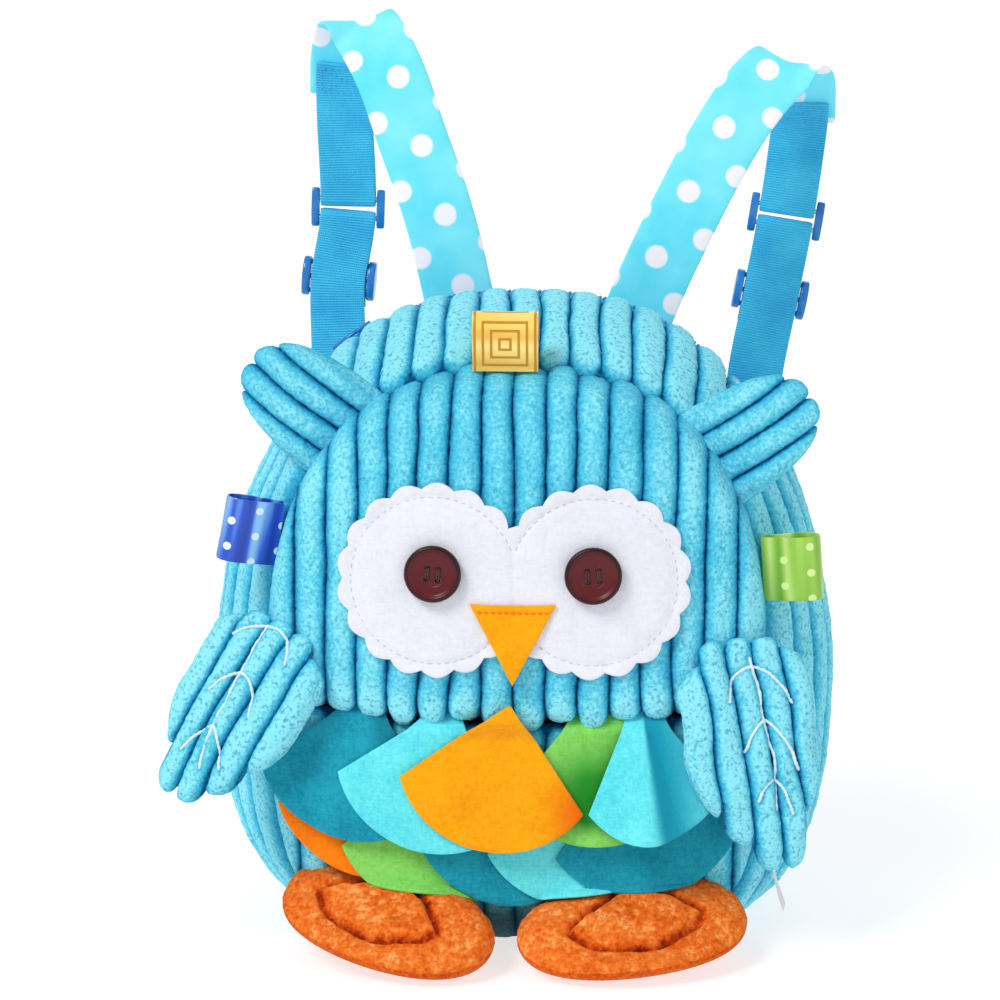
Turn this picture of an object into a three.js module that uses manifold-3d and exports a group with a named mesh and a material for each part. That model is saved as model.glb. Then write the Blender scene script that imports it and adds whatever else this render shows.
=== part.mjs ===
// A toddler's plush owl backpack, standing on its base with both shoulder straps raised.
// Millimetres, +Z up, the face towards -Y. The origin is the middle of the flat base, on the floor.
// The bag is sewn from wide-rib plush panels round a hollow, with felt, buttons and tags added to it.
import * as THREE from "three";
import Module from "manifold-3d";
import { mergeVertices } from "three/addons/utils/BufferGeometryUtils.js";

const wasm = await Module();
wasm.setup();

// Body: widest width, height at the crown, and depth from the front seam to the back seam.
const BODY_WIDTH = 262;
const BODY_HEIGHT = 266;
const BODY_DEPTH = 96;
const WALL = 3;
const CUT_TOLERANCE = 0.05;
const SEAM_GAP = 0.4;
const SHOULDER_GAP = 1;
const ENVELOPE_GAP = 0.6;

// Plush ribs.
const RIB_PITCH = 13.1;
const RIB_HEIGHT = 3.4;
const RIB_END_ROUND = 7;
const RIB_SCALLOP = 1.4;

// Front: how far it swells, the padding of the face, and how far the face's lower lip dips.
const FRONT_CROWN = 25;
const FACE_PAD = 8;
const LIP_ROUND = 11;
const LIP_DROP = 8;
const PANEL_EDGE = 1.6;

// Zip in the top gusset.
const ZIP_WIDTH = 12.5;
const ZIP_TAPE = 1.4;
const ZIP_COIL_WIDTH = 5;
const ZIP_COIL_HEIGHT = 1.6;
const REAR_BAND = 7;
const TOP_GUSSET_HALF = 86;
const PULL_BODY = { length: 9, width: 7, height: 3 };
const PULL_TAB = { length: 16, width: 4, height: 1.4, reach: 10 };
const PULL_ACROSS = -0.8;

// Eyes, beak and buttons.
const EYE_SPACING = 65.3;
const EYE_RADIUS = 40.4;
const EYE_HEIGHT = 165.2;
const EYE_SCALLOPS = 17;
const EYE_SCALLOP_DEPTH = 2.6;
const FELT = 1.3;
const FELT_CLEARANCE = 0.8;
const BUTTON_RADIUS = 11.8;
const BUTTON_THICKNESS = 4.2;
const BUTTON_RAISE = 3.7;
const BUTTON_RIM = 2.4;
const BUTTON_DISH = 1.2;
const BUTTON_HOLE_RADIUS = 1.25;
const BUTTON_HOLE_SPACING = 4.6;
const BUTTON_SIDES = 16;
const BEAK_WIDTH = 35.5;
const BEAK_LENGTH = 33;
const BEAK_TOP = 156;
const BEAK_LIFT = 2.5;

// Felt feathers.
const FEATHER_LENGTH = 64;
const FEATHER_CORNER_SHARE = 0.87;
const FEATHER_APEX = 5;
const FEATHER_LAYER = 2.1;
const FEATHER_CLEARANCE = 0.9;
const FEATHER_HANG_HEIGHT = 50;
const FEATHER_SPREAD = 0.8;
const LIP_BLEND = 11;
const FEATHER_FOLD = 7;

// Ears.
const EAR_WIDTH = 46;
const EAR_HEIGHT = 46;
const EAR_THICKNESS = 17;
const EAR_RIBS = 4;
const EAR_SINK = 9;
const EAR_SET_BACK = 2;

// Wings.
const WING_WIDTH = 58;
const WING_LENGTH = 111;
const WING_THICKNESS = 11;
const WING_NOTCH = 0.03;
const WING_RIBS = 5;

// Feet.
const FOOT_LENGTH = 98;
const FOOT_DEPTH = 60;
const FOOT_THICKNESS = 31;
const FOOT_TUFT_SHARE = 0.58;
const FOOT_GROOVE = 2.6;
const FOOT_TOE_SHARE = 0.45;

// Ribbon tags and the blank sewn-in label.
const TAG_WIDTH = 27;
const TAG_REACH = 24;
const TAG_BULGE = 6.5;
const TAG_SINK = 0.3;
const RIBBON = 1;
const LABEL_WIDTH = 9;
const LABEL_LENGTH = 20;
const LABEL_THICKNESS = 1;
const LABEL_LEAN = 12;
const LABEL_SEAT = { across: 0.92, depth: 0.12, gap: 0.6 };
const CROWN_TAG_ACROSS = -0.045;

// Side tags: height on the front seam as a share of the front's height, and turn in degrees.
const SIDE_TAGS = [
  { name: "ribbon_tag_blue", ribbon: "blueRibbon", side: -1, height: 0.712, turn: 196 },
  { name: "ribbon_tag_green", ribbon: "greenRibbon", side: 1, height: 0.668, turn: -6 },
];

// Shoulder straps: padded upper part, webbing, and two sliders on each.
const STRAP_WIDTH = 31;
const STRAP_THICKNESS = 3.6;
const STRAP_RISE = 116;
const STRAP_REACH = 58;
const WEBBING_WIDTH = 25;
const WEBBING_THICKNESS = 1.6;
const SLIDER_HEIGHT = 18;
const SLIDER_RAIL = 3.6;
const SLIDER_BAR = 2.4;
const SLIDER_CLEARANCE = 0.6;
const RING_REACH = 4.4;
const WEBBING_LAP = 14;

// Power of the outline's lower half, where it starts, and the part of it that lies flat on the floor.
const BOTTOM_POWERS = { across: 6, up: 2.67 };
const WIDEST_SHARE = 0.45;
const BASE_FLATTEN = 1.02;
const BASE_HALF_SHARE = 0.66;

// How the outline changes from the front seam (at 0) to the back seam (at 1): its width and height as
// shares of the body's, and the superellipse powers of its upper half.
const DEPTH_SECTIONS = [
  { at: 0, width: 0.802, height: 0.928, across: 2.4, up: 2.7 },
  { at: 0.15, width: 0.885, height: 0.962, across: 2.5, up: 2.1 },
  { at: 0.4, width: 0.98, height: 0.993, across: 2.6, up: 1.7 },
  { at: 0.7, width: 1, height: 1, across: 2.6, up: 1.6 },
  { at: 1, width: 0.95, height: 0.985, across: 2.6, up: 1.6 },
];

// Ears: where the middle of each sits across the front seam, and how far its axis lifts above level.
const EARS = [
  { name: "ear_left", side: -1, seat: 0.71, lift: 38 },
  { name: "ear_right", side: 1, seat: 0.79, lift: 34 },
];

// Wings: top as shares of the body, lean of the axis, turn round it, lift of the tip, share of the length.
const WINGS = [
  { side: -1, across: 0.725, height: 0.535, forward: 0.78, lean: 25, turn: 27, lift: -10, size: 0.78 },
  { side: 1, across: 0.7, height: 0.527, forward: 1, lean: 8, turn: 20, lift: -3, size: 0.9 },
];

// A wing's outline from its inner edge to its outer one: how low each place starts and how far it
// reaches, as shares of the wing's length.
const WING_SHAPE = [
  { at: 0, top: 0.17, reach: 0.5 },
  { at: 0.2, top: 0.03, reach: 0.8 },
  { at: 0.4, top: 0, reach: 0.95 },
  { at: 0.6, top: 0, reach: 1 },
  { at: 0.8, top: 0.03, reach: 0.9 },
  { at: 1, top: 0.17, reach: 0.5 },
];

// Feet: middle as shares of the body's width and depth, and how each is turned and rolled.
const FEET = [
  { name: "foot_left", side: -1, across: 0.2, forward: 0.36, turn: 27, roll: 9 },
  { name: "foot_right", side: 1, across: 0.19, forward: 0.37, turn: 15, roll: 4 },
];

// Rows of feathers, lower one first: its top as a share of the front's height, how far its tips stand off
// the belly, and how much each feather tips so that its left side lies over its neighbour.
const FEATHER_ROWS = [
  { top: 0.37, lift: 5.2, shingle: 0.088 },
  { top: 0.455, lift: 11.2, shingle: 0 },
];

// Felt feathers: apex as shares of the front's half width and height, lean and half angle in degrees, and
// layer counted outwards within the row.
const FEATHERS = [
  { name: "low_amber", row: 0, layer: 0, across: -0.5, top: 0.4, lean: -12, half: 44, color: 0xff7a12 },
  { name: "low_green", row: 0, layer: 0, across: -0.29, top: 0.352, lean: -4, half: 44, color: 0x7fdc5e },
  { name: "low_teal", row: 0, layer: 0, across: 0.02, top: 0.36, lean: -3, half: 44, color: 0x1c93ad },
  { name: "low_aqua", row: 0, layer: 0, across: 0.26, top: 0.36, lean: 1, half: 44, color: 0x5fd9e4 },
  { name: "low_deep", row: 0, layer: 0, across: 0.48, top: 0.37, lean: 8, half: 44, color: 0x1c93ad },
  { name: "top_teal", row: 1, layer: 0, across: -0.57, top: 0.472, lean: -12, half: 44, color: 0x168ea6 },
  { name: "top_green", row: 1, layer: 0, across: 0.31, top: 0.473, lean: 5, half: 44, color: 0x76dd55 },
  { name: "top_aqua", row: 1, layer: 1, across: -0.25, top: 0.458, lean: -13, half: 44, color: 0x5bd6e2 },
  { name: "top_orange", row: 1, layer: 2, across: -0.01, top: 0.465, lean: -11, half: 44, color: 0xf9a51a },
  { name: "top_curl", row: 1, layer: 1, across: 0.49, top: 0.486, lean: 9, half: 30, color: 0x4fd0dc },
];

// Route of each strap from its seam on the back: across as a share of the body's half width, rise as a
// share of the strap's rise over the bag, reach as a share of its reach behind it, roll in degrees.
const STRAP_ROUTES = {
  left: [
    { at: 0, across: -0.21, rise: -0.24, reach: 0.05, roll: 17 },
    { at: 0.05, across: -0.24, rise: -0.05, reach: 0.07, roll: 18 },
    { at: 0.13, across: -0.31, rise: 0.26, reach: 0.14, roll: 18 },
    { at: 0.21, across: -0.4, rise: 0.54, reach: 0.24, roll: 16 },
    { at: 0.28, across: -0.48, rise: 0.78, reach: 0.36, roll: 13 },
    { at: 0.34, across: -0.575, rise: 0.945, reach: 0.54, roll: 8 },
    { at: 0.38, across: -0.625, rise: 0.91, reach: 0.72, roll: 4 },
    { at: 0.42, across: -0.65, rise: 0.78, reach: 0.84, roll: 2 },
    { at: 0.46, across: -0.655, rise: 0.6, reach: 0.92, roll: 2 },
    { at: 0.56, across: -0.65, rise: 0.19, reach: 1, roll: 4 },
    { at: 0.63, across: -0.685, rise: -0.09, reach: 0.96, roll: 3 },
    { at: 0.7, across: -0.68, rise: -0.4, reach: 0.84, roll: 0 },
    { at: 0.85, across: -0.7, rise: -1.1, reach: 0.62, roll: 0 },
    { at: 0.95, across: -0.72, rise: -1.68, reach: 0.22, roll: 0 },
    { at: 1, across: -0.73, rise: -1.95, reach: 0.035, roll: 0 },
  ],
  right: [
    { at: 0, across: 0.31, rise: -0.32, reach: 0.05, roll: -26 },
    { at: 0.05, across: 0.37, rise: -0.12, reach: 0.07, roll: -27 },
    { at: 0.13, across: 0.48, rise: 0.16, reach: 0.15, roll: -27 },
    { at: 0.21, across: 0.62, rise: 0.47, reach: 0.26, roll: -26 },
    { at: 0.28, across: 0.745, rise: 0.69, reach: 0.38, roll: -22 },
    { at: 0.34, across: 0.855, rise: 0.8, reach: 0.55, roll: -13 },
    { at: 0.38, across: 0.905, rise: 0.755, reach: 0.72, roll: -9 },
    { at: 0.42, across: 0.915, rise: 0.645, reach: 0.84, roll: -10 },
    { at: 0.46, across: 0.91, rise: 0.53, reach: 0.92, roll: -14 },
    { at: 0.56, across: 0.87, rise: 0.17, reach: 1, roll: -18 },
    { at: 0.63, across: 0.82, rise: -0.14, reach: 0.96, roll: -16 },
    { at: 0.7, across: 0.77, rise: -0.45, reach: 0.84, roll: -8 },
    { at: 0.85, across: 0.73, rise: -1.12, reach: 0.62, roll: 0 },
    { at: 0.95, across: 0.73, rise: -1.68, reach: 0.22, roll: 0 },
    { at: 1, across: 0.73, rise: -1.95, reach: 0.035, roll: 0 },
  ],
};
const STRAP_END = 0.445;
const SLIDER_PLACES = { upper: 0.555, lower: 0.625 };

const MATERIALS = {
  plush: material(0x4cc6e2, 0.95),
  plushRear: material(0x3fb4d6, 0.95),
  whiteFelt: material(0xf3f3fb, 0.95),
  orangeFelt: material(0xf9a51a, 0.95),
  orangePlush: material(0xe8702a, 0.95),
  button: material(0x5a1a1c, 0.3),
  strap: material(0x7fe6f4, 0.8),
  webbing: material(0x2aa3dd, 0.75),
  slider: material(0x1d86cf, 0.35),
  zip: material(0x2a9fd0, 0.7),
  yellowRibbon: material(0xf4c24a, 0.45),
  blueRibbon: material(0x1a4fc0, 0.3),
  greenRibbon: material(0x86c232, 0.4),
  label: material(0xf2f0f6, 0.6),
};

function material(color, roughness) {
  return new THREE.MeshStandardMaterial({ color, roughness, metalness: 0 });
}

const lerp = THREE.MathUtils.lerp;
const clamp = THREE.MathUtils.clamp;
const radians = THREE.MathUtils.degToRad;
const rounded = (share) => Math.sqrt(1 - (1 - clamp(share, 0, 1)) ** 2);

// Evenly spaced values from 0 to 1.
const even = (count) => Array.from({ length: count + 1 }, (_, i) => i / count);

// A smooth curve through one column of a table whose rows are ordered by at.
function sample(rows, column, at) {
  const last = rows.length - 1;
  const found = rows.findIndex((row) => row.at >= at);
  const i = clamp(found < 0 ? last : found, 1, last) - 1;
  const slope = (k) => {
    const before = rows[Math.max(k - 1, 0)];
    const after = rows[Math.min(k + 1, last)];
    return (after[column] - before[column]) / (after.at - before.at);
  };
  const step = rows[i + 1].at - rows[i].at;
  const t = clamp((at - rows[i].at) / step, 0, 1);
  const [a, b] = [rows[i][column], rows[i + 1][column]];
  return (
    a * (1 + 2 * t) * (1 - t) ** 2 +
    b * t * t * (3 - 2 * t) +
    step * (slope(i) * t * (1 - t) ** 2 - slope(i + 1) * t * t * (1 - t))
  );
}

// A closed solid over a grid: point(u, v, side) gives its front (side 0) and its back (side 1).
function gridSolid(us, vs, point, closed = false) {
  const positions = [];
  const ids = new Map();
  const idOf = (p) => {
    const key = [p.x, p.y, p.z].map((value) => Math.round(value * 1e4)).join();
    if (!ids.has(key)) {
      ids.set(key, positions.length / 3);
      positions.push(p.x, p.y, p.z);
    }
    return ids.get(key);
  };
  const [front, back] = [0, 1].map((side) => us.map((u) => vs.map((v) => idOf(point(u, v, side)))));
  const triangles = [];
  const quad = (a, b, c, d) => {
    for (const corner of [[a, b, c], [a, c, d]]) {
      if (new Set(corner).size === 3) triangles.push(...corner);
    }
  };
  const columns = closed ? us.length : us.length - 1;
  const top = vs.length - 1;
  for (let i = 0; i < columns; i += 1) {
    const n = (i + 1) % us.length;
    for (let j = 0; j < top; j += 1) {
      quad(front[i][j], front[n][j], front[n][j + 1], front[i][j + 1]);
      quad(back[i][j + 1], back[n][j + 1], back[n][j], back[i][j]);
    }
    quad(front[n][0], front[i][0], back[i][0], back[n][0]);
    quad(front[i][top], front[n][top], back[n][top], back[i][top]);
  }
  for (let j = 0; j < top && !closed; j += 1) {
    quad(front[0][j], front[0][j + 1], back[0][j + 1], back[0][j]);
    quad(front[columns][j + 1], front[columns][j], back[columns][j], back[columns][j + 1]);
  }
  return facingOut(positions, triangles);
}

// A geometry whose triangles face out, whichever way round they were given.
function facingOut(positions, triangles) {
  const at = (k) => new THREE.Vector3().fromArray(positions, 3 * triangles[k]);
  let volume = 0;
  for (let k = 0; k < triangles.length; k += 3) {
    volume += at(k).dot(at(k + 1).cross(at(k + 2)));
  }
  const geometry = new THREE.BufferGeometry();
  geometry.setAttribute("position", new THREE.Float32BufferAttribute(positions, 3));
  geometry.setIndex(volume < 0 ? triangles.slice().reverse() : triangles);
  return geometry;
}

function toManifold(geometry) {
  const bare = geometry.index ? geometry.toNonIndexed() : geometry.clone();
  bare.deleteAttribute("normal");
  bare.deleteAttribute("uv");
  const merged = mergeVertices(bare, 1e-4);
  return new wasm.Manifold(
    new wasm.Mesh({
      numProp: 3,
      vertProperties: merged.attributes.position.array,
      triVerts: new Uint32Array(merged.index.array),
    }),
  );
}

function fromManifold(solid) {
  const mesh = solid.getMesh();
  const geometry = new THREE.BufferGeometry();
  const positions = Array.from(mesh.vertProperties);
  geometry.setAttribute("position", new THREE.Float32BufferAttribute(positions, 3));
  geometry.setIndex(Array.from(mesh.triVerts));
  return geometry;
}

function named(name, geometry, look) {
  const mesh = new THREE.Mesh(geometry, look);
  mesh.name = name;
  return mesh;
}

// Height of a rib's rounded back over its valleys, 0 to 1, for a place measured across the ribs.
function ribCrest(across, pitch) {
  const share = across / pitch - Math.floor(across / pitch);
  return Math.sqrt(Math.max(Math.sin(Math.PI * share), 0));
}

// Places across ribbed cloth: each valley, and both shoulders of each rib.
function ribColumns(from, to, pitch) {
  const shoulders = [0, 0.3, 0.7];
  const places = [];
  for (let k = Math.floor(from / pitch); k <= Math.ceil(to / pitch); k += 1) {
    places.push(...shoulders.map((share) => (k + share) * pitch));
  }
  const margin = 0.1 * pitch;
  return [from, ...places.filter((x) => x > from + margin && x < to - margin), to];
}

// A piece cut clear of its neighbours, keeping its largest part; the cutters are in the whole owl's frame.
function seated(mesh, cutters) {
  mesh.updateMatrixWorld(true);
  const toLocal = mesh.matrixWorld.clone().invert().elements;
  const cut = cutters.reduce(
    (solid, cutter) => solid.subtract(cutter.transform(toLocal)),
    toManifold(mesh.geometry),
  );
  const bodies = cut.decompose().sort((a, b) => b.volume() - a.volume());
  mesh.geometry = fromManifold(bodies[0].simplify(CUT_TOLERANCE));
  return mesh;
}

const halfWidthAt = (depth) => (BODY_WIDTH / 2) * sample(DEPTH_SECTIONS, "width", depth);
const heightAt = (depth) => BODY_HEIGHT * sample(DEPTH_SECTIONS, "height", depth);

// The angle round a section where its outline is this far across, as a share of its half width.
const archAngle = (share, depth) =>
  Math.asin(clamp(share, 0, 1) ** (sample(DEPTH_SECTIONS, "across", depth) / 2));
const bottomAngle = (share) => Math.PI - Math.asin(clamp(share, 0, 1) ** (BOTTOM_POWERS.across / 2));

// A point of the bag's side wall: angle 0 is the top and pi the base, inset is measured inwards.
function shellPoint(side, angle, depth, inset) {
  const width = halfWidthAt(depth) - inset;
  const height = heightAt(depth);
  const widest = WIDEST_SHARE * height;
  const upper = angle <= Math.PI / 2;
  const acrossPower = upper ? sample(DEPTH_SECTIONS, "across", depth) : BOTTOM_POWERS.across;
  const upPower = upper ? sample(DEPTH_SECTIONS, "up", depth) : BOTTOM_POWERS.up;
  const across = Math.abs(Math.sin(angle)) ** (2 / acrossPower);
  const up = Math.abs(Math.cos(angle)) ** (2 / upPower);
  const z = upper
    ? widest + (height - widest - inset) * up
    : widest - (widest - inset) * Math.min(1, BASE_FLATTEN * up);
  return new THREE.Vector3(side * width * across, BODY_DEPTH * (depth - 0.5), z);
}

const FRONT_Y = -BODY_DEPTH / 2;
const FRONT_HALF = halfWidthAt(0);
const FRONT_HEIGHT = heightAt(0);
const FRONT_WIDEST = WIDEST_SHARE * FRONT_HEIGHT;

const frontTop = (x) => shellPoint(1, archAngle(Math.abs(x) / FRONT_HALF, 0), 0, 0).z;
const frontBottom = (x) => shellPoint(1, bottomAngle(Math.abs(x) / FRONT_HALF), 0, 0).z;
const lip = (x) => FRONT_WIDEST - LIP_DROP * (1 - (x / FRONT_HALF) ** 2);

// How far the stuffed front stands out of the front seam's plane.
function frontCrown(x, z) {
  const [low, high] = [frontBottom(x), frontTop(x)];
  const span = Math.max(high - low, 1);
  const vertical = clamp((4 * (high - z) * (z - low)) / span ** 2, 0, 1);
  const across = Math.max(1 - (Math.abs(x) / FRONT_HALF) ** 2.6, 0);
  return FRONT_CROWN * Math.sqrt(across * vertical);
}

// A ribbed panel of the front between two edge curves, with padding that rounds off at both edges.
function frontPanel(low, high, pad, rows) {
  const point = (x, v, side) => {
    const z = lerp(low(x), high(x), v);
    const crown = frontCrown(x, z);
    if (side === 1) return new THREE.Vector3(x, FRONT_Y - crown, z);
    const edge = Math.min(z - low(x), high(x) - z);
    const ribs = RIB_HEIGHT * ribCrest(x, RIB_PITCH) * rounded(edge / RIB_END_ROUND);
    return new THREE.Vector3(x, FRONT_Y - crown - padThickness(edge, pad) - ribs, z);
  };
  return gridSolid(ribColumns(-FRONT_HALF, FRONT_HALF, RIB_PITCH), rows, point);
}

const padThickness = (edge, pad) => PANEL_EDGE + pad * rounded(edge / LIP_ROUND);

const frontScallop = (x) => RIB_SCALLOP * ribCrest(x, RIB_PITCH) * (1 - (x / FRONT_HALF) ** 4);

const faceLow = (x) => lip(x) - frontScallop(x);
const faceHigh = (x) => frontTop(x) + frontScallop(x);

function facePanel() {
  const [low, high] = [faceLow, faceHigh];
  return frontPanel(low, high, FACE_PAD, [0, 0.05, 0.17, 0.55, 0.93, 1]);
}

function bellyPanel() {
  const high = (x) => lip(x) - (RIB_SCALLOP + SEAM_GAP) * (1 - (x / FRONT_HALF) ** 8);
  return frontPanel(frontBottom, high, WALL, [0, 0.1, 0.35, 0.85, 1]);
}

// Distance out of the front seam's plane of the face's rib backs.
function faceOut(x, z) {
  const edge = Math.min(z - faceLow(x), faceHigh(x) - z);
  const ribs = RIB_HEIGHT * rounded(edge / RIB_END_ROUND);
  return frontCrown(x, z) + padThickness(edge, FACE_PAD) + ribs;
}

// Distance out of the front seam's plane of the belly's rib backs.
function bellyOut(x, z) {
  const edge = z - frontBottom(x);
  return frontCrown(x, z) + padThickness(edge, WALL) + RIB_HEIGHT * rounded(edge / RIB_END_ROUND);
}

// The body's outside over its rib backs, a little larger, which pieces that lie on the body are cut by.
function bodyEnvelope() {
  const reach = RIB_HEIGHT + ENVELOPE_GAP;
  const spread = (u) => (1 - Math.cos(Math.PI * u)) / 2;
  const sides = gridSolid(
    even(64).slice(0, -1),
    even(8),
    (u, v, side) => {
      const signed = 2 * Math.PI * (u - 0.5);
      return shellPoint(Math.sign(signed) || 1, Math.abs(signed), v, side === 0 ? -reach : FRONT_CROWN);
    },
    true,
  );
  const half = FRONT_HALF + ENVELOPE_GAP;
  const front = (low, high, out) =>
    gridSolid(even(26).map(spread), even(14).map(spread), (u, v, side) => {
      const x = lerp(-FRONT_HALF, FRONT_HALF, u);
      const z = lerp(low(x), high(x), v);
      const y = side === 1 ? FRONT_Y + FRONT_CROWN : FRONT_Y - out(x, z) - ENVELOPE_GAP;
      return new THREE.Vector3((x * half) / FRONT_HALF, y, z);
    });
  const face = front((x) => faceLow(x) - ENVELOPE_GAP, (x) => faceHigh(x) + ENVELOPE_GAP, faceOut);
  return [sides, face, front(frontBottom, lip, bellyOut)].map(toManifold);
}

// A band of the side wall between two depths, whose ends are at given distances across the top.
function topBand(depths, columns, outward, inward) {
  const point = (x, depth, side) => {
    const angle = archAngle(Math.abs(x) / halfWidthAt(depth), depth);
    const inset = side === 0 ? -outward(x, depth) : inward;
    return shellPoint(Math.sign(x) || 1, angle, depth, inset);
  };
  return gridSolid(columns, depths, point);
}

const depthShare = (length) => length / BODY_DEPTH;
const ZIP_START = 1 - depthShare(REAR_BAND + ZIP_WIDTH);
const REAR_START = 1 - depthShare(REAR_BAND);
const FRONT_EDGE = depthShare(SEAM_GAP);

function topGusset() {
  const end = ZIP_START - depthShare(SEAM_GAP);
  const depths = [0, 0.1, 0.3, 0.6, 0.9, 1].map((share) => lerp(FRONT_EDGE, end, share));
  const rib = (x, depth) => {
    const edge = Math.min(depth - FRONT_EDGE, end - depth) * BODY_DEPTH;
    return RIB_HEIGHT * ribCrest(x, RIB_PITCH) * rounded(edge / RIB_END_ROUND);
  };
  const columns = ribColumns(-TOP_GUSSET_HALF, TOP_GUSSET_HALF, RIB_PITCH);
  return topBand(depths, columns, rib, WALL);
}

const plainColumns = (count) => even(count).map((share) => lerp(-1, 1, share) * TOP_GUSSET_HALF);

function zipper() {
  const half = depthShare(ZIP_COIL_WIDTH) / 2;
  const middle = (ZIP_START + REAR_START) / 2;
  const coil = (x, depth) => (Math.abs(depth - middle) < half ? ZIP_COIL_HEIGHT : 0);
  const inner = 0.9 * half;
  const outer = 1.1 * half;
  const depths = [ZIP_START, middle - outer, middle - inner, middle + inner, middle + outer, REAR_START];
  return topBand(depths, plainColumns(10), coil, ZIP_TAPE);
}

function rearBand() {
  const start = REAR_START + depthShare(SEAM_GAP);
  return topBand([start, 1 - FRONT_EDGE], plainColumns(10), () => 0, WALL);
}

const SIDE_START = TOP_GUSSET_HALF + SHOULDER_GAP;

// A side of the bag, from the top gusset down to the base, with ribs that run down it.
function sideGusset(side) {
  const ribs = Math.round(BODY_DEPTH / RIB_PITCH);
  const pitch = (1 - 2 * FRONT_EDGE) / ribs;
  const depths = ribColumns(0, ribs * pitch, pitch).map((depth) => FRONT_EDGE + depth);
  const rows = [0, 0.2, 0.45, 0.68, 0.84, 0.93, 1];
  const point = (depth, v, face) => {
    const start = archAngle(SIDE_START / halfWidthAt(depth), depth);
    const end = bottomAngle(BASE_HALF_SHARE) - SEAM_GAP / BODY_HEIGHT;
    const crest = ribCrest(depth - FRONT_EDGE, pitch) * rounded((1 - v) * ribs);
    const inset = face === 0 ? -RIB_HEIGHT * crest : WALL;
    return shellPoint(side, lerp(start, end, v), depth, inset);
  };
  return gridSolid(depths, rows, point);
}

function basePanel() {
  const depths = even(4).map((share) => lerp(FRONT_EDGE, 1 - FRONT_EDGE, share));
  const shares = [-1, -0.96, -0.91, -0.5, 0, 0.5, 0.91, 0.96, 1].map((share) => share * BASE_HALF_SHARE);
  const point = (share, depth, face) => {
    const inset = face === 0 ? 0 : WALL;
    return shellPoint(Math.sign(share) || 1, bottomAngle(Math.abs(share)), depth, inset);
  };
  return gridSolid(shares, depths, point);
}

const BACK_Y = BODY_DEPTH / 2 + SEAM_GAP;
const BACK_FACE_Y = BACK_Y + WALL;

function backPanel() {
  const upper = [0, 0.15, 0.3, 0.45, 0.58, 0.7, 0.81, 0.9, 0.97].map((share) => archAngle(share, 1));
  const lower = [1, 0.985, 0.95, 0.89, 0.8, 0.7, 0.6].map(bottomAngle);
  const angles = [...upper, ...lower];
  const right = angles.map((angle) => shellPoint(1, angle, 1, 0));
  const left = angles.slice(1).reverse().map((angle) => shellPoint(-1, angle, 1, 0));
  const shape = new THREE.Shape([...right, ...left].map((p) => new THREE.Vector2(p.x, p.z)));
  const geometry = new THREE.ExtrudeGeometry(shape, { depth: WALL, bevelEnabled: false });
  return geometry.rotateX(Math.PI / 2).translate(0, BACK_FACE_Y, 0);
}

// The two scalloped circles of the eye patch, walked once round from the notch below the brow.
function eyePatchOutline() {
  const half = EYE_SPACING / 2;
  const step = (2 * Math.PI) / EYE_SCALLOPS;
  const meet = Math.acos(-half / EYE_RADIUS);
  const count = Math.round((2 * meet) / step);
  const shares = [0, 0.5];
  const outline = [];
  for (const side of [1, -1]) {
    const places = [];
    for (let k = 0; k < count; k += 1) {
      places.push(...shares.map((share) => (k + share) / count));
    }
    for (const place of places) {
      const angle = lerp(-meet, meet, place);
      const bump = Math.abs(Math.sin(place * count * Math.PI));
      const radius = EYE_RADIUS - EYE_SCALLOP_DEPTH * (1 - bump);
      const [across, up] = [half + radius * Math.cos(angle), radius * Math.sin(angle)];
      outline.push([side * across, EYE_HEIGHT + side * up]);
    }
  }
  return outline;
}

// A flat felt piece laid on the face at a given height over the ribs.
const onFace = (x, z, over) => new THREE.Vector3(x, FRONT_Y - faceOut(x, z) - over, z);

function eyePatch() {
  const outline = eyePatchOutline();
  const point = (k, v, side) => {
    const x = outline[k][0] * v;
    const z = lerp(EYE_HEIGHT, outline[k][1], v);
    return onFace(x, z, FELT_CLEARANCE + (side === 0 ? FELT : 0));
  };
  return gridSolid(outline.map((_, k) => k), [0, 0.5, 1], point, true);
}

const OVER_PATCH = FELT_CLEARANCE + FELT + SEAM_GAP;

function beak() {
  const point = (u, v, side) => {
    const x = ((u * BEAK_WIDTH) / 2) * v;
    const z = BEAK_TOP - BEAK_LENGTH * (1 - v);
    const lift = BEAK_LIFT * (1 - v) ** 2 + OVER_PATCH;
    return onFace(x, z, lift + (side === 0 ? FELT : 0));
  };
  return gridSolid([-1, 0, 1], [0, 0.35, 0.7, 1], point);
}

// A round four-hole button with a raised rim, facing +Z in its own frame.
function buttonGeometry() {
  const [r, h] = [BUTTON_RADIUS, BUTTON_THICKNESS];
  const dish = h - BUTTON_DISH;
  const profile = [
    [0, 0], [r - 2, 0], [r, 0.4 * h], [r, 0.8 * h], [r - 0.7, h],
    [r - BUTTON_RIM + 0.6, h], [r - BUTTON_RIM - 0.6, dish], [0, dish],
  ].map(([x, y]) => new THREE.Vector2(x, y));
  const disc = new THREE.LatheGeometry(profile, BUTTON_SIDES).rotateX(Math.PI / 2);
  let solid = toManifold(disc);
  for (const [x, y] of [[1, 1], [1, -1], [-1, 1], [-1, -1]]) {
    const hole = new THREE.CylinderGeometry(BUTTON_HOLE_RADIUS, BUTTON_HOLE_RADIUS, 3 * h, 6);
    hole.rotateX(Math.PI / 2);
    hole.translate((x * BUTTON_HOLE_SPACING) / 2, (y * BUTTON_HOLE_SPACING) / 2, h / 2);
    solid = solid.subtract(toManifold(hole));
  }
  return fromManifold(solid);
}

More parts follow.
